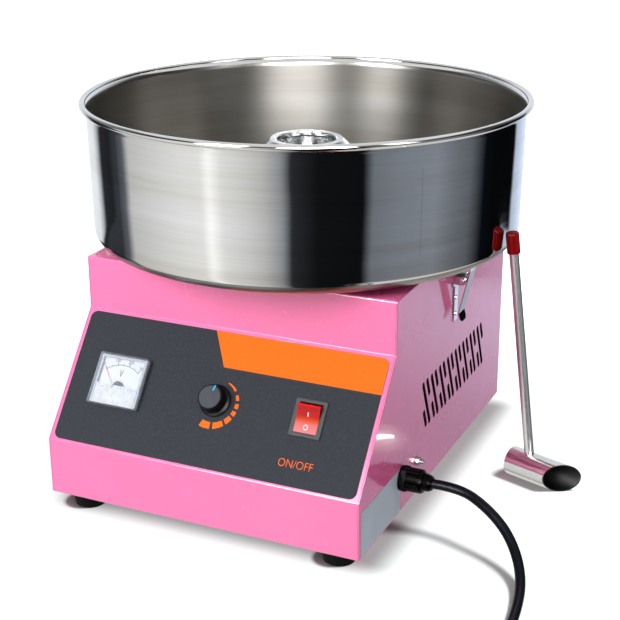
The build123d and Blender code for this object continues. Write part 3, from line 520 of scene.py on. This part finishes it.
def scoop_steel():
    """Polished tube, dull within and darkened there with painted shade, and a rod with a softer finish.
    """
    made, nodes, shader = material("scoop_chrome", Metallic=1.0)
    a = radians(SCOOP_YAW)
    offset = nodes.place_from(at(*SCOOP_AT, SCOOP_RADIUS + SCOOP_LIFT))
    across = nodes.vector("DOT_PRODUCT", offset, (-sin(a), cos(a), 0))
    height = nodes.split(offset)[2]
    radius = nodes.reach(across, height)
    inner = nodes.math("LESS_THAN", radius, (SCOOP_RADIUS - SCOOP_WALL / 2) * MM)
    speck = nodes.noise(200, 3.0)
    steel = nodes.ramp(speck, [(0.35, (0.66, 0.66, 0.66)), (0.65, (0.72, 0.72, 0.72))])
    # Painted shade: the inside of the tube is near black.
    nodes.link(nodes.mix(inner, steel, (0.06, 0.06, 0.063)), shader.inputs["Base Color"])
    polish = nodes.ramp(speck, [(0.3, 0.10), (0.7, 0.15)])
    rod = nodes.math("GREATER_THAN", height, (SCOOP_RADIUS + 2) * MM)
    worn = nodes.mix(rod, polish, 0.34)
    nodes.link(nodes.mix(inner, worn, 0.45), shader.inputs["Roughness"])
    return made


def board_green():
    made, nodes, shader = material("board", Roughness=0.4)
    mottled(nodes, shader, (0.02, 0.16, 0.06), 0.2, 150)
    return made


MATERIALS = {
    "pink_paint": pink_paint(),
    "zinc_sheet": plain_metal("zinc_sheet", (0.55, 0.56, 0.57), 0.3, 0.5, 60),
    "black_rubber": plastic("black_rubber", (0.003, 0.0035, 0.004), 0.55, 0.7, gloss=0.05),
    "steel_hardware": plain_metal("steel_hardware", (0.42, 0.42, 0.43), 0.38, 0.5),
    "overlay_film": overlay_film(),
    "plate_film": label_foil(),
    "meter_shell": plastic("meter_shell", (0.5, 0.51, 0.52)),
    "meter_dial": dial_white(),
    "clear_plastic": clear_plastic(),
    "red_needle": needle_paint(),
    "pot_metal": plain_metal("pot_metal", (0.6, 0.6, 0.6)),
    "knob_black": plastic("knob_black", (0.004, 0.004, 0.005), 0.28, 0.36, gloss=0.12),
    "knob_grey": plastic("knob_grey", (0.060, 0.065, 0.075), 0.35, 0.45, gloss=0.08),
    "switch_black": plastic("switch_black", (0.035, 0.037, 0.04), 0.35, 0.45),
    "rocker_red": rocker_red(),
    "gland_black": plastic("gland_black", (0.001, 0.001, 0.0015), 0.14, 0.22, gloss=0.05),
    "bowl_steel": bowl_steel(),
    "latch_chrome": plain_metal("latch_chrome", (0.80, 0.80, 0.80), 0.05, 0.10),
    "head_steel": brushed("head_steel", (0.76, 0.77, 0.78), 0.12, 0.18, (12, 12, 700)),
    "element": plain_metal("element", (0.2, 0.17, 0.15), 0.5, 0.7),
    "shaft_steel": brushed("shaft_steel", (0.6, 0.6, 0.6), 0.15, 0.3, (12, 12, 900)),
    "ring_brass": plain_metal("ring_brass", (0.80, 0.60, 0.28), 0.12, 0.25),
    "motor_core": plain_metal("motor_core", (0.22, 0.22, 0.23), 0.4, 0.6),
    "motor_alloy": plain_metal("motor_alloy", (0.55, 0.55, 0.56), 0.4, 0.55),
    "fan_plastic": plastic("fan_plastic", (0.04, 0.04, 0.04)),
    "collar_alloy": plain_metal("collar_alloy", (0.66, 0.66, 0.66), 0.25, 0.4),
    "holder_plastic": plastic("holder_plastic", (0.10, 0.05, 0.03)),
    "carbon": plastic("carbon", (0.03, 0.03, 0.03), 0.5, 0.7),
    "board": board_green(),
    "scoop_chrome": scoop_steel(),
    "grip_red": grip_red(),
    "cord_black": cord_jacket(),
}
ORANGE = print_ink("orange_ink", (0.88, 0.138, 0.008))
BLUE = print_ink("blue_ink", (0.02, 0.38, 0.68))
WHITE_INK = print_ink("white_ink", (0.80, 0.76, 0.78))
BLACK_INK = print_ink("black_ink", (0.05, 0.055, 0.065))
GREY_INK = print_ink("grey_ink", (0.20, 0.22, 0.25))
EDGE_GREY = print_ink("edge_grey", (0.42, 0.46, 0.52))
FROST = frosted()


def dress_nodes():
    """Every node of the part gets the material of its slot."""
    for entry in frame["record"]["subparts"]:
        node = frame["nodes"][entry["node"]]
        node.data.materials.clear()
        node.data.materials.append(MATERIALS[entry["material_slot"]])


# Mesh helpers


def piece(name, vertices, faces, finish, body, smooth=False):
    """A mesh object that rides on a body and takes its finish from a slot."""
    mesh = bpy.data.meshes.new(name)
    mesh.from_pydata([tuple(v) for v in vertices], [], faces)
    shape = bmesh.new()
    shape.from_mesh(mesh)
    bmesh.ops.recalc_face_normals(shape, faces=shape.faces)
    shape.to_mesh(mesh)
    shape.free()
    mesh.polygons.foreach_set("use_smooth", [smooth] * len(mesh.polygons))
    mesh.materials.append(finish)
    made = bpy.data.objects.new(name, mesh)
    bpy.context.scene.collection.objects.link(made)
    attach(made, body)
    return made


def prism(outline, low, high, place, start):
    """Vertices and faces of a closed prism over a flat outline."""
    count = len(outline)
    vertices = [place(a, b, n) for n in (low, high) for a, b in outline]
    sides = [
        (start + i, start + (i + 1) % count, start + count + (i + 1) % count, start + count + i)
        for i in range(count)
    ]
    caps = [tuple(start + i for i in range(count)), tuple(start + count + i for i in range(count))]
    return vertices, sides + caps


def prisms(name, outlines, low, high, place, finish, body, slot):
    """Several prisms as one piece, such as the marks of one print."""
    vertices, faces = [], []
    for outline in outlines:
        more, sides = prism(outline, low, high, place, len(vertices))
        vertices += more
        faces += sides
    return piece(name, vertices, faces, finish, body)


def rounded_corner(before, here, after, radius, steps):
    """Points of the arc that rounds one corner of an outline."""
    here = Vector(here)
    back = (Vector(before) - here).normalized()
    on = (Vector(after) - here).normalized()
    half = back.angle(on) / 2
    reach = radius / (sin(half) / cos(half))
    middle = here + (back + on).normalized() * (radius / sin(half))
    first, last = here + back * reach - middle, here + on * reach - middle
    sweep = first.angle_signed(last)
    points = []
    for k in range(steps + 1):
        turned = first.copy()
        turned.rotate(Matrix.Rotation(-sweep * k / steps, 2))
        points.append(middle + turned)
    return points


def rounded_outline(corners, steps=5):
    """An outline of (x, y, radius) corners, each rounded or left sharp."""
    points = []
    for i, (x, y, radius) in enumerate(corners):
        before, after = corners[i - 1][:2], corners[(i + 1) % len(corners)][:2]
        if radius:
            points += rounded_corner(before, (x, y), after, radius, steps)
        else:
            points.append((x, y))
    return [tuple(point) for point in points]


def arc_band(centre, inner, outer, start, end, steps=14):
    """Outline of a band along an arc; its outer radius may differ at each end."""
    angles = [radians(start + (end - start) * i / steps) for i in range(steps + 1)]
    near = [(centre[0] + inner * cos(a), centre[1] + inner * sin(a)) for a in angles]
    far = []
    for i, a in enumerate(angles):
        radius = outer[0] + (outer[1] - outer[0]) * i / steps
        far.append((centre[0] + radius * cos(a), centre[1] + radius * sin(a)))
    return near + far[::-1]


def bar(a, b, width):
    """Outline of a straight stroke between two points."""
    run = Vector(b) - Vector(a)
    side = Vector((-run.y, run.x)).normalized() * (width / 2)
    start, end = Vector(a), Vector(b)
    return [tuple(p) for p in (start - side, end - side, end + side, start + side)]


def lathe(profile, start=0):
    """A closed outline of (radius, height) turned about the spindle axis."""
    count = len(profile)
    vertices = []
    for i in range(LATHE_STEPS):
        a = 2 * pi * i / LATHE_STEPS
        vertices += [at(r * cos(a), r * sin(a), z) for r, z in profile]
    faces = []
    for i in range(LATHE_STEPS):
        here, there = start + i * count, start + (i + 1) % LATHE_STEPS * count
        for j in range(count):
            k = (j + 1) % count
            faces.append((here + j, there + j, there + k, here + k))
    return vertices, faces


def sheet_profile(path, thickness, radii, steps=8):
    """Closed outline of a bent sheet: path is its outer face, with the sheet on the left."""
    line = [Vector(path[0])]
    for before, corner, after, radius in zip(path, path[1:], path[2:], radii):
        line += rounded_corner(before, corner, after, radius, steps)
    line.append(Vector(path[-1]))
    inside = []
    for i, point in enumerate(line):
        run = (line[min(i + 1, len(line) - 1)] - line[max(i - 1, 0)]).normalized()
        inside.append(point + Vector((-run.y, run.x)) * thickness)
    return [tuple(p) for p in line + inside[::-1]]


def lettering(name, text, size, place, finish, body, slot, low, high, squeeze, swell):
    """Letters as one closed mesh, centred on the place; swell grows or thins their strokes."""
    curve = bpy.data.curves.new(name + "_curve", "FONT")
    curve.body = text
    curve.size = size
    curve.align_x = "CENTER"
    curve.align_y = "CENTER"
    curve.offset = swell
    curve.resolution_u = 4
    holder = bpy.data.objects.new(name + "_curve", curve)
    flat = bpy.data.meshes.new_from_object(holder)
    shape = bmesh.new()
    shape.from_mesh(flat)
    bmesh.ops.remove_doubles(shape, verts=shape.verts, dist=0.001)
    lower = list(shape.faces)
    grown = bmesh.ops.extrude_face_region(shape, geom=lower)
    for vertex in shape.verts:
        vertex.co.z = low
    for vertex in (v for v in grown["geom"] if isinstance(v, bmesh.types.BMVert)):
        vertex.co.z = high
    for vertex in shape.verts:
        vertex.co = place(vertex.co.x * squeeze, vertex.co.y, vertex.co.z)
    shape.to_mesh(flat)
    shape.free()
    vertices = [vertex.co.copy() for vertex in flat.vertices]
    faces = [tuple(polygon.vertices) for polygon in flat.polygons]
    bpy.data.objects.remove(holder)
    bpy.data.curves.remove(curve)
    bpy.data.meshes.remove(flat)
    return piece(name, vertices, faces, finish, body)


def panel_place(x, s):
    """A place function for marks centred on a point of the panel."""

    def place(u, v, n):
        return on_panel(x + u, s + v, n)

    return place


# Bowl


def bowl():
    """The whole pan as one smooth lathed shell, with its bead."""
    bead_z, bead_radius = RIM_Z - BEAD, RIM_RADIUS - BEAD
    path = [
        (BOWL_HOLE, BOWL_LIP_Z),
        (BOWL_HOLE, BOWL_BOTTOM),
        (BOWL_FOOT_RADIUS, BOWL_BOTTOM),
        (BOWL_NECK_RADIUS, BOWL_NECK_Z),
        (RIM_RADIUS - 2 * BEAD + BOWL_SHEET, bead_z),
    ]
    bends = (2, 14, 11)
    vertices, faces = lathe(sheet_profile(path, BOWL_SHEET, bends))
    turns = [2 * pi * i / BEAD_STEPS for i in range(BEAD_STEPS)]
    bead = [(bead_radius + BEAD * cos(a), bead_z + BEAD * sin(a)) for a in turns]
    more, rings = lathe(bead, start=len(vertices))
    made = piece(
        "bowl_shell", vertices + more, faces + rings, MATERIALS["bowl_steel"], "bowl_body",
        smooth=True,
    )
    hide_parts("bowl_floor", "bowl_wall")


def bowl_seam():
    """The upright weld in the rolled wall: a low rounded ridge inside and out."""
    a = radians(WALL_SEAM_ANGLE)
    low_z, high_z, rows, ring = BOWL_BOTTOM + 16, RIM_Z - 14, 24, 12
    half_sheet, half_width, proud, taper = BOWL_SHEET / 2, 0.45, 0.12, 4
    vertices, faces = [], []
    for i in range(rows + 1):
        z = low_z + (high_z - low_z) * i / rows
        swell = min(1.0, (min(i, rows - i) + 0.2) / taper)
        middle = BOWL_FOOT_RADIUS + BOWL_FLARE * (z - BOWL_BOTTOM) - half_sheet
        for k in range(ring):
            b = 2 * pi * k / ring
            r = middle + (half_sheet + proud) * swell * cos(b)
            w = half_width * swell * sin(b)
            vertices.append(at(r * cos(a) - w * sin(a), r * sin(a) + w * cos(a), z))
    for start in range(0, rows * ring, ring):
        for k in range(ring):
            n = (k + 1) % ring
            faces.append((start + k, start + n, start + ring + n, start + ring + k))
    faces += [tuple(range(ring)), tuple(rows * ring + k for k in range(ring))]
    piece("bowl_seam", vertices, faces, MATERIALS["bowl_steel"], "bowl_body", True)


# Control panel prints


def title_band():
    """The bare orange field at the panel's upper right."""
    corners = [(-1.1, 115, 0), (182.4, 115, 0), (182.4, 154.4, 7.5), (-21.9, 154.4, 0)]
    outline = rounded_outline(corners)
    prisms("title_band", [outline], *PRINT, on_panel, ORANGE, "root", "overlay_film")


def heat_marks():
    """Seven marks round the knob that grow clockwise."""
    spans = [(67, 37), (25, 11), (3, -9), (-16, -27), (-33, -50), (-56, -81), (-88, -112)]
    first, last = spans[0][0], spans[-1][1]
    inner, thin, wide = 23.5, 24.6, 31.5

    def reach(angle):
        return thin + (wide - thin) * ((first - angle) / (first - last)) ** 0.8

    outlines = [
        arc_band((0.5, KNOB_S - 0.5), inner, (reach(start), reach(end)), start, end)
        for start, end in spans
    ]
    prisms("heat_marks", outlines, *PRINT, on_panel, ORANGE, "root", "overlay_film")


def switch_legend():
    lettering(
        "switch_legend", "ON/OFF", 12.6, panel_place(109.4, 25.9), ORANGE, "root",
        "overlay_film", *PRINT, squeeze=0.88, swell=-0.16,
    )


# Voltmeter


def meter_print():
    """Scale arc, ticks, numbers and unit letter on the dial."""
    low, high = 2.75, 2.9
    first, last, radius, half_line = 127, 55, 34, 0.3
    number_radius, number_top = radius + 6.6, 101.0

    def on_dial(reach, share):
        a = radians(first + (last - first) * share)
        return METER_X + reach * cos(a), PIVOT_S + reach * sin(a)

    outer = (radius + half_line, radius + half_line)
    arc = arc_band((METER_X, PIVOT_S), radius - half_line, outer, first, last, 40)
    ticks = []
    for i in range(7):
        length, width = (2, 0.45) if i % 2 else (3.6, 0.7)
        ticks.append(bar(on_dial(radius, i / 6), on_dial(radius + length, i / 6), width))
    prisms("meter_scale", [arc, *ticks], low, high, on_panel, BLACK_INK, "root", "meter_dial")
    for i, text in enumerate(("0", "100", "200", "300")):
        x, s = on_dial(number_radius, i / 3)
        lettering(
            "meter_number_" + text, text, 5.8, panel_place(x, min(s, number_top)), GREY_INK,
            "root", "meter_dial", low, high, squeeze=0.8, swell=0.06,
        )
    lettering(
        "meter_unit", "V", 12.0, panel_place(METER_X - 0.7, 86.5), BLACK_INK, "root", "meter_dial",
        low, high, squeeze=0.58, swell=0.05,
    )


def meter_shade():
    """The ribbed frosted lower part, the edges of the window and the pivot's half-round cover."""
    low, high, groove = 4.9, 5.3, 0.25
    half, bottom, top, ribs = 29.2, METER_S - METER_HALF, 72.4, 40
    outline = []
    for i in range(ribs + 1):
        x = METER_X - half + 2 * half * i / ribs
        outline.append((x, high - (groove if i % 2 else 0.0)))
    vertices = [on_panel(x, s, n) for s in (bottom, top) for x, n in outline]
    vertices += [on_panel(x, s, low) for s in (bottom, top) for x, n in outline]
    count = ribs + 1
    faces = []
    for i in range(ribs):
        a, b, c, d = i, i + 1, count + i + 1, count + i
        faces += [(a, b, c, d), tuple(2 * count + k for k in (d, c, b, a))]
        faces += [(a, b, 2 * count + b, 2 * count + a), (d, c, 2 * count + c, 2 * count + d)]
    faces += [(0, count, 3 * count, 2 * count)]
    faces += [(count - 1, 2 * count - 1, 4 * count - 1, 3 * count - 1)]
    piece("meter_shade", vertices, faces, FROST, "root")
    radius, middle = 6.3, top - 1.4
    cover = [
        (METER_X + radius * cos(radians(a)), middle + radius * sin(radians(a)))
        for a in range(12, 169, 6)
    ]
    frame_top = METER_S + METER_HALF
    edges = [
        bar((METER_X + 27.4, bottom), (METER_X + 27.4, frame_top), 3.6),
        bar((METER_X - METER_HALF, bottom), (METER_X - METER_HALF, frame_top), 2.6),
        bar((METER_X - 26.4, frame_top - 1.4), (METER_X + 25.5, frame_top - 1.4), 2.8),
    ]
    prisms("meter_edges", edges, 4.95, 5.38, on_panel, EDGE_GREY, "root", "meter_shell")
    prisms(
        "meter_pivot_cover", [cover], 4.95, 5.35, on_panel, MATERIALS["knob_grey"], "root",
        "meter_shell",
    )


# Knob and switch marks


def knob_pointer():
    """The blue stroke on the knob's face, which its print height puts just clear of it."""
    a, inner, outer = radians(75), 7.5, 13.6
    ends = [(reach * cos(a), KNOB_S + reach * sin(a)) for reach in (inner, outer)]
    prisms("knob_pointer", [bar(*ends, 1.7)], 16.7, 17.15, on_panel, BLUE, "knob", "knob_grey")


def on_rocker(x, y, lift):
    """A place on the rocker's dished face, tilted with it."""
    dish = (ROCKER_END_N - ROCKER_MIDDLE_N) * abs(y) / ROCKER_HALF_LENGTH
    n = ROCKER_MIDDLE_N + dish + lift - ROCKER_PIVOT_N
    tilt = radians(ROCKER_TILT)
    return on_panel(
        SWITCH_X + x, SWITCH_S + y * cos(tilt) - n * sin(tilt),
        ROCKER_PIVOT_N + y * sin(tilt) + n * cos(tilt),
    )


def rocker_marks():
    """The plain line and ring of a mains switch."""
    line = bar((0, 2.6), (0, 7.0), 0.9)
    low, high = INK_LOW, INK_HIGH
    prisms("rocker_line", [line], low, high, on_rocker, WHITE_INK, "rocker", "rocker_red")
    steps, centre, inner, outer, stretch = 28, -9.0, 1.9, 2.65, 1.15
    vertices, faces = [], []
    for i in range(steps):
        a = 2 * pi * i / steps
        for r, lift in ((inner, low), (outer, low), (outer, high), (inner, high)):
            vertices.append(on_rocker(r * cos(a), centre + stretch * r * sin(a), lift))
    for i in range(steps):
        j = (i + 1) % steps
        for k in range(4):
            m = (k + 1) % 4
            faces.append((i * 4 + k, j * 4 + k, j * 4 + m, i * 4 + m))
    piece("rocker_ring", vertices, faces, WHITE_INK, "rocker")


# Cord


def coil_points():
    """Four turns: out and in on the table, then in and out on top of them."""
    wide, narrow = COIL_RADII
    low, high = COIL_LAYERS
    turns = [(wide, low), (narrow, low), (narrow, high), (wide, high)]
    grow = 1 / cos(pi / COIL_STEPS)
    points = []
    total = len(turns) * COIL_STEPS + 1
    for i in range(total):
        turn = min(i // COIL_STEPS, len(turns) - 1)
        radius, height = turns[turn]
        share = min(1.0, (i % COIL_STEPS) / COIL_CHANGE_STEPS)
        if turn and i < len(turns) * COIL_STEPS:
            before = turns[turn - 1]
            radius = before[0] + (radius - before[0]) * share
            height = before[1] + (height - before[1]) * share
        a = pi + 2 * pi * i / COIL_STEPS
        points.append((COIL_X + radius * grow * cos(a), COIL_Y + radius * grow * sin(a), height))
    return points


def mains_cord():
    """One smooth line from the gland, over the table, round the coil and into the plug."""
    points = CORD_ROUTE + coil_points() + TAIL_ROUTE
    curve = bpy.data.curves.new("mains_cord", "CURVE")
    curve.dimensions = "3D"
    curve.bevel_depth = CORD_DIAMETER / 2 * MM
    curve.bevel_resolution = 6
    curve.resolution_u = 10
    curve.use_fill_caps = True
    spline = curve.splines.new("NURBS")
    spline.points.add(len(points) - 1)
    for target, point in zip(spline.points, points):
        target.co = (*at(*point), 1.0)
    spline.order_u = 3
    spline.use_endpoint_u = True
    cord = bpy.data.objects.new("mains_cord", curve)
    bpy.context.scene.collection.objects.link(cord)
    curve.materials.append(MATERIALS["cord_black"])
    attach(cord, "root")
    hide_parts("power_cord", "cord_coil", "cord_tail")
    return cord


# Studio


def softbox(name, place, target, size, power):
    """A soft area lamp that lights but isn't mirrored; the world holds what is mirrored."""
    light = bpy.data.lights.new(name, "AREA")
    light.shape = "DISK"
    light.size = size
    light.energy = power
    lamp = bpy.data.objects.new(name, light)
    bpy.context.scene.collection.objects.link(lamp)
    lamp.location = at(*place)
    toward = at(*target) - lamp.location
    lamp.rotation_euler = toward.to_track_quat("-Z", "Y").to_euler()
    lamp.visible_glossy = False
    return lamp


def beside_housing(nodes):
    """Distance on the floor from the housing's foot, in metres, for the painted shadow there."""
    aside = nodes.vector("ABSOLUTE", nodes.place_from(at(*PAINTED_SHADOW_MIDDLE, 0)))
    past = nodes.vector("SUBTRACT", aside, Vector((*PAINTED_SHADOW_HALF, 0)) * MM)
    return nodes.vector("LENGTH", nodes.vector("MAXIMUM", past, (0, 0, 0)))


def studio_floor():
    """White sweep that keeps the soft shadows near the machine, with a painted shadow at the housing's
    foot, and is plain white beyond.
    """
    made, nodes, shader = material("studio_floor", Roughness=0.9, Specular_IOR_Level=0.0)
    seen = nodes.add("ShaderNodeLightPath").outputs["Is Camera Ray"]
    beside = nodes.step(beside_housing(nodes), 0, PAINTED_SHADOW_WIDTH)
    # Painted shadow: the floor's colour darkens towards the housing's foot.
    painted_shadow = nodes.mix(beside, PAINTED_SHADOW_TONE, FLOOR_WHITE)
    nodes.link(nodes.mix(seen, FLOOR_BOUNCE, painted_shadow), shader.inputs["Base Color"])
    reach = nodes.vector("DISTANCE", nodes.object_place(), at(*FLOOR_FADE_AT, 0))
    far = nodes.step(reach, *FLOOR_FADE)
    glow = nodes.add("ShaderNodeEmission")
    nodes.link(nodes.math("MULTIPLY", seen, far), glow.inputs["Strength"])
    total = nodes.add("ShaderNodeAddShader")
    output = [n for n in nodes.tree.nodes if n.bl_idname == "ShaderNodeOutputMaterial"][0]
    nodes.link(shader.outputs[0], total.inputs[0])
    nodes.link(glow.outputs[0], total.inputs[1])
    nodes.link(total.outputs[0], output.inputs["Surface"])
    mesh = bpy.data.meshes.new("studio_floor")
    corners = [(-FLOOR_REACH, -FLOOR_REACH), (FLOOR_REACH, -FLOOR_REACH)]
    corners += [(-x, -y) for x, y in corners]
    mesh.from_pydata([(x, y, 0) for x, y in corners], [], [(0, 1, 2, 3)])
    mesh.materials.append(made)
    floor = bpy.data.objects.new("studio_floor", mesh)
    bpy.context.scene.collection.objects.link(floor)
    floor.visible_glossy = False
    return floor


def room_ramp(nodes, share, stops):
    """Brightness round the horizon; cool stops lean to blue and the others are a little warm."""
    colours = []
    for angle, level, cool in stops:
        tint = (1 - 0.12 * cool, 1 - 0.03 * cool, 0.97 + 0.14 * cool)
        colours.append(((angle + 180) / 360, tuple(max(0.0, level * part) for part in tint)))
    return nodes.ramp(share, colours)


def studio_world():
    """White to the camera, an even glow on matt surfaces, and a room of soft panels in gloss."""
    world = bpy.data.worlds.new("studio")
    bpy.context.scene.world = world
    world.use_nodes = True
    nodes = Nodes(world.node_tree)
    x, y, z = nodes.split(nodes.add("ShaderNodeTexCoord").outputs["Generated"])
    angle = nodes.math("ARCTAN2", y, x)
    side = nodes.step(angle, *map(radians, SIDE_FROM))
    lean = nodes.math("MULTIPLY", nodes.step(z, *SIDE_LEAN_FROM), radians(SIDE_LEAN))
    turn = nodes.math("MULTIPLY_ADD", side, lean, angle)
    share = nodes.math("MULTIPLY_ADD", turn, 1 / (2 * pi), 0.5)
    lowest = nodes.math("MULTIPLY", side, nodes.step(z, *SIDE_DIM_FROM))
    dim = nodes.mix(lowest, 1.0, SIDE_DIM)
    walls = nodes.mix(1.0, room_ramp(nodes, share, ROOM), dim, "MULTIPLY")
    ahead = nodes.step(angle, *map(radians, GROUND_AHEAD))
    under = nodes.math("MULTIPLY", ahead, nodes.step(z, *GROUND_FROM))
    low = nodes.mix(under, walls, GROUND)
    middle = nodes.mix(nodes.step(z, *GALLERY_FROM), low, room_ramp(nodes, share, GALLERY))
    room = nodes.mix(nodes.step(z, *CEILING_FROM), middle, CEILING)
    path = nodes.add("ShaderNodeLightPath")
    direct = nodes.math("LESS_THAN", path.outputs["Diffuse Depth"], 0.5)
    mirrored = nodes.math("MULTIPLY", path.outputs["Is Glossy Ray"], direct)
    gloss = nodes.mix(mirrored, AMBIENT, room)
    seen = nodes.mix(path.outputs["Is Camera Ray"], gloss, 1.0)
    background = nodes.add("ShaderNodeBackground")
    nodes.link(seen, background.inputs["Color"])
    output = nodes.add("ShaderNodeOutputWorld")
    nodes.link(background.outputs[0], output.inputs["Surface"])


def studio_lamps(floor, cord):
    """A broad front light and a soft top one, and a high one for the floor's shadows."""
    only_floor = bpy.data.collections.new("floor_only")
    only_floor.objects.link(floor)
    no_floor = bpy.data.collections.new("all_but_floor")
    no_floor.objects.link(floor)
    no_shadow = bpy.data.collections.new("all_but_small_things")
    casters = [frame["nodes"][name] for name in SHADOW_NODES] + [cord]
    for thing in bpy.context.scene.objects:
        if thing.type == "MESH" and thing not in casters:
            no_shadow.objects.link(thing)
    for group in (no_floor, no_shadow):
        for member in group.collection_objects:
            member.light_linking.link_state = "EXCLUDE"
    front = softbox("front_softbox", *FRONT_LAMP)
    top = softbox("top_softbox", *TOP_LAMP)
    shade = softbox("shadow_softbox", *SHADE_LAMP)
    front.light_linking.receiver_collection = no_floor
    top.light_linking.receiver_collection = no_floor
    shade.light_linking.receiver_collection = only_floor
    shade.light_linking.blocker_collection = no_shadow


def camera():
    lens = bpy.data.cameras.new("camera")
    lens.lens = CAMERA_LENS
    lens.sensor_width = SENSOR
    lens.clip_end = CAMERA_REACH
    holder = bpy.data.objects.new("camera", lens)
    bpy.context.scene.collection.objects.link(holder)
    yaw = Matrix.Rotation(radians(CAMERA_YAW), 4, "Z")
    pitch = Matrix.Rotation(radians(90 - CAMERA_PITCH), 4, "X")
    roll = Matrix.Rotation(radians(CAMERA_ROLL), 4, "Z")
    holder.matrix_world = Matrix.Translation(at(*CAMERA_AT)) @ yaw @ pitch @ roll
    bpy.context.scene.camera = holder


dress_nodes()
bowl()
bowl_seam()
title_band()
heat_marks()
switch_legend()
meter_print()
meter_shade()
knob_pointer()
rocker_marks()
cord = mains_cord()
studio_world()
studio_lamps(studio_floor(), cord)
camera()
bpy.context.scene.view_settings.view_transform = "Standard"
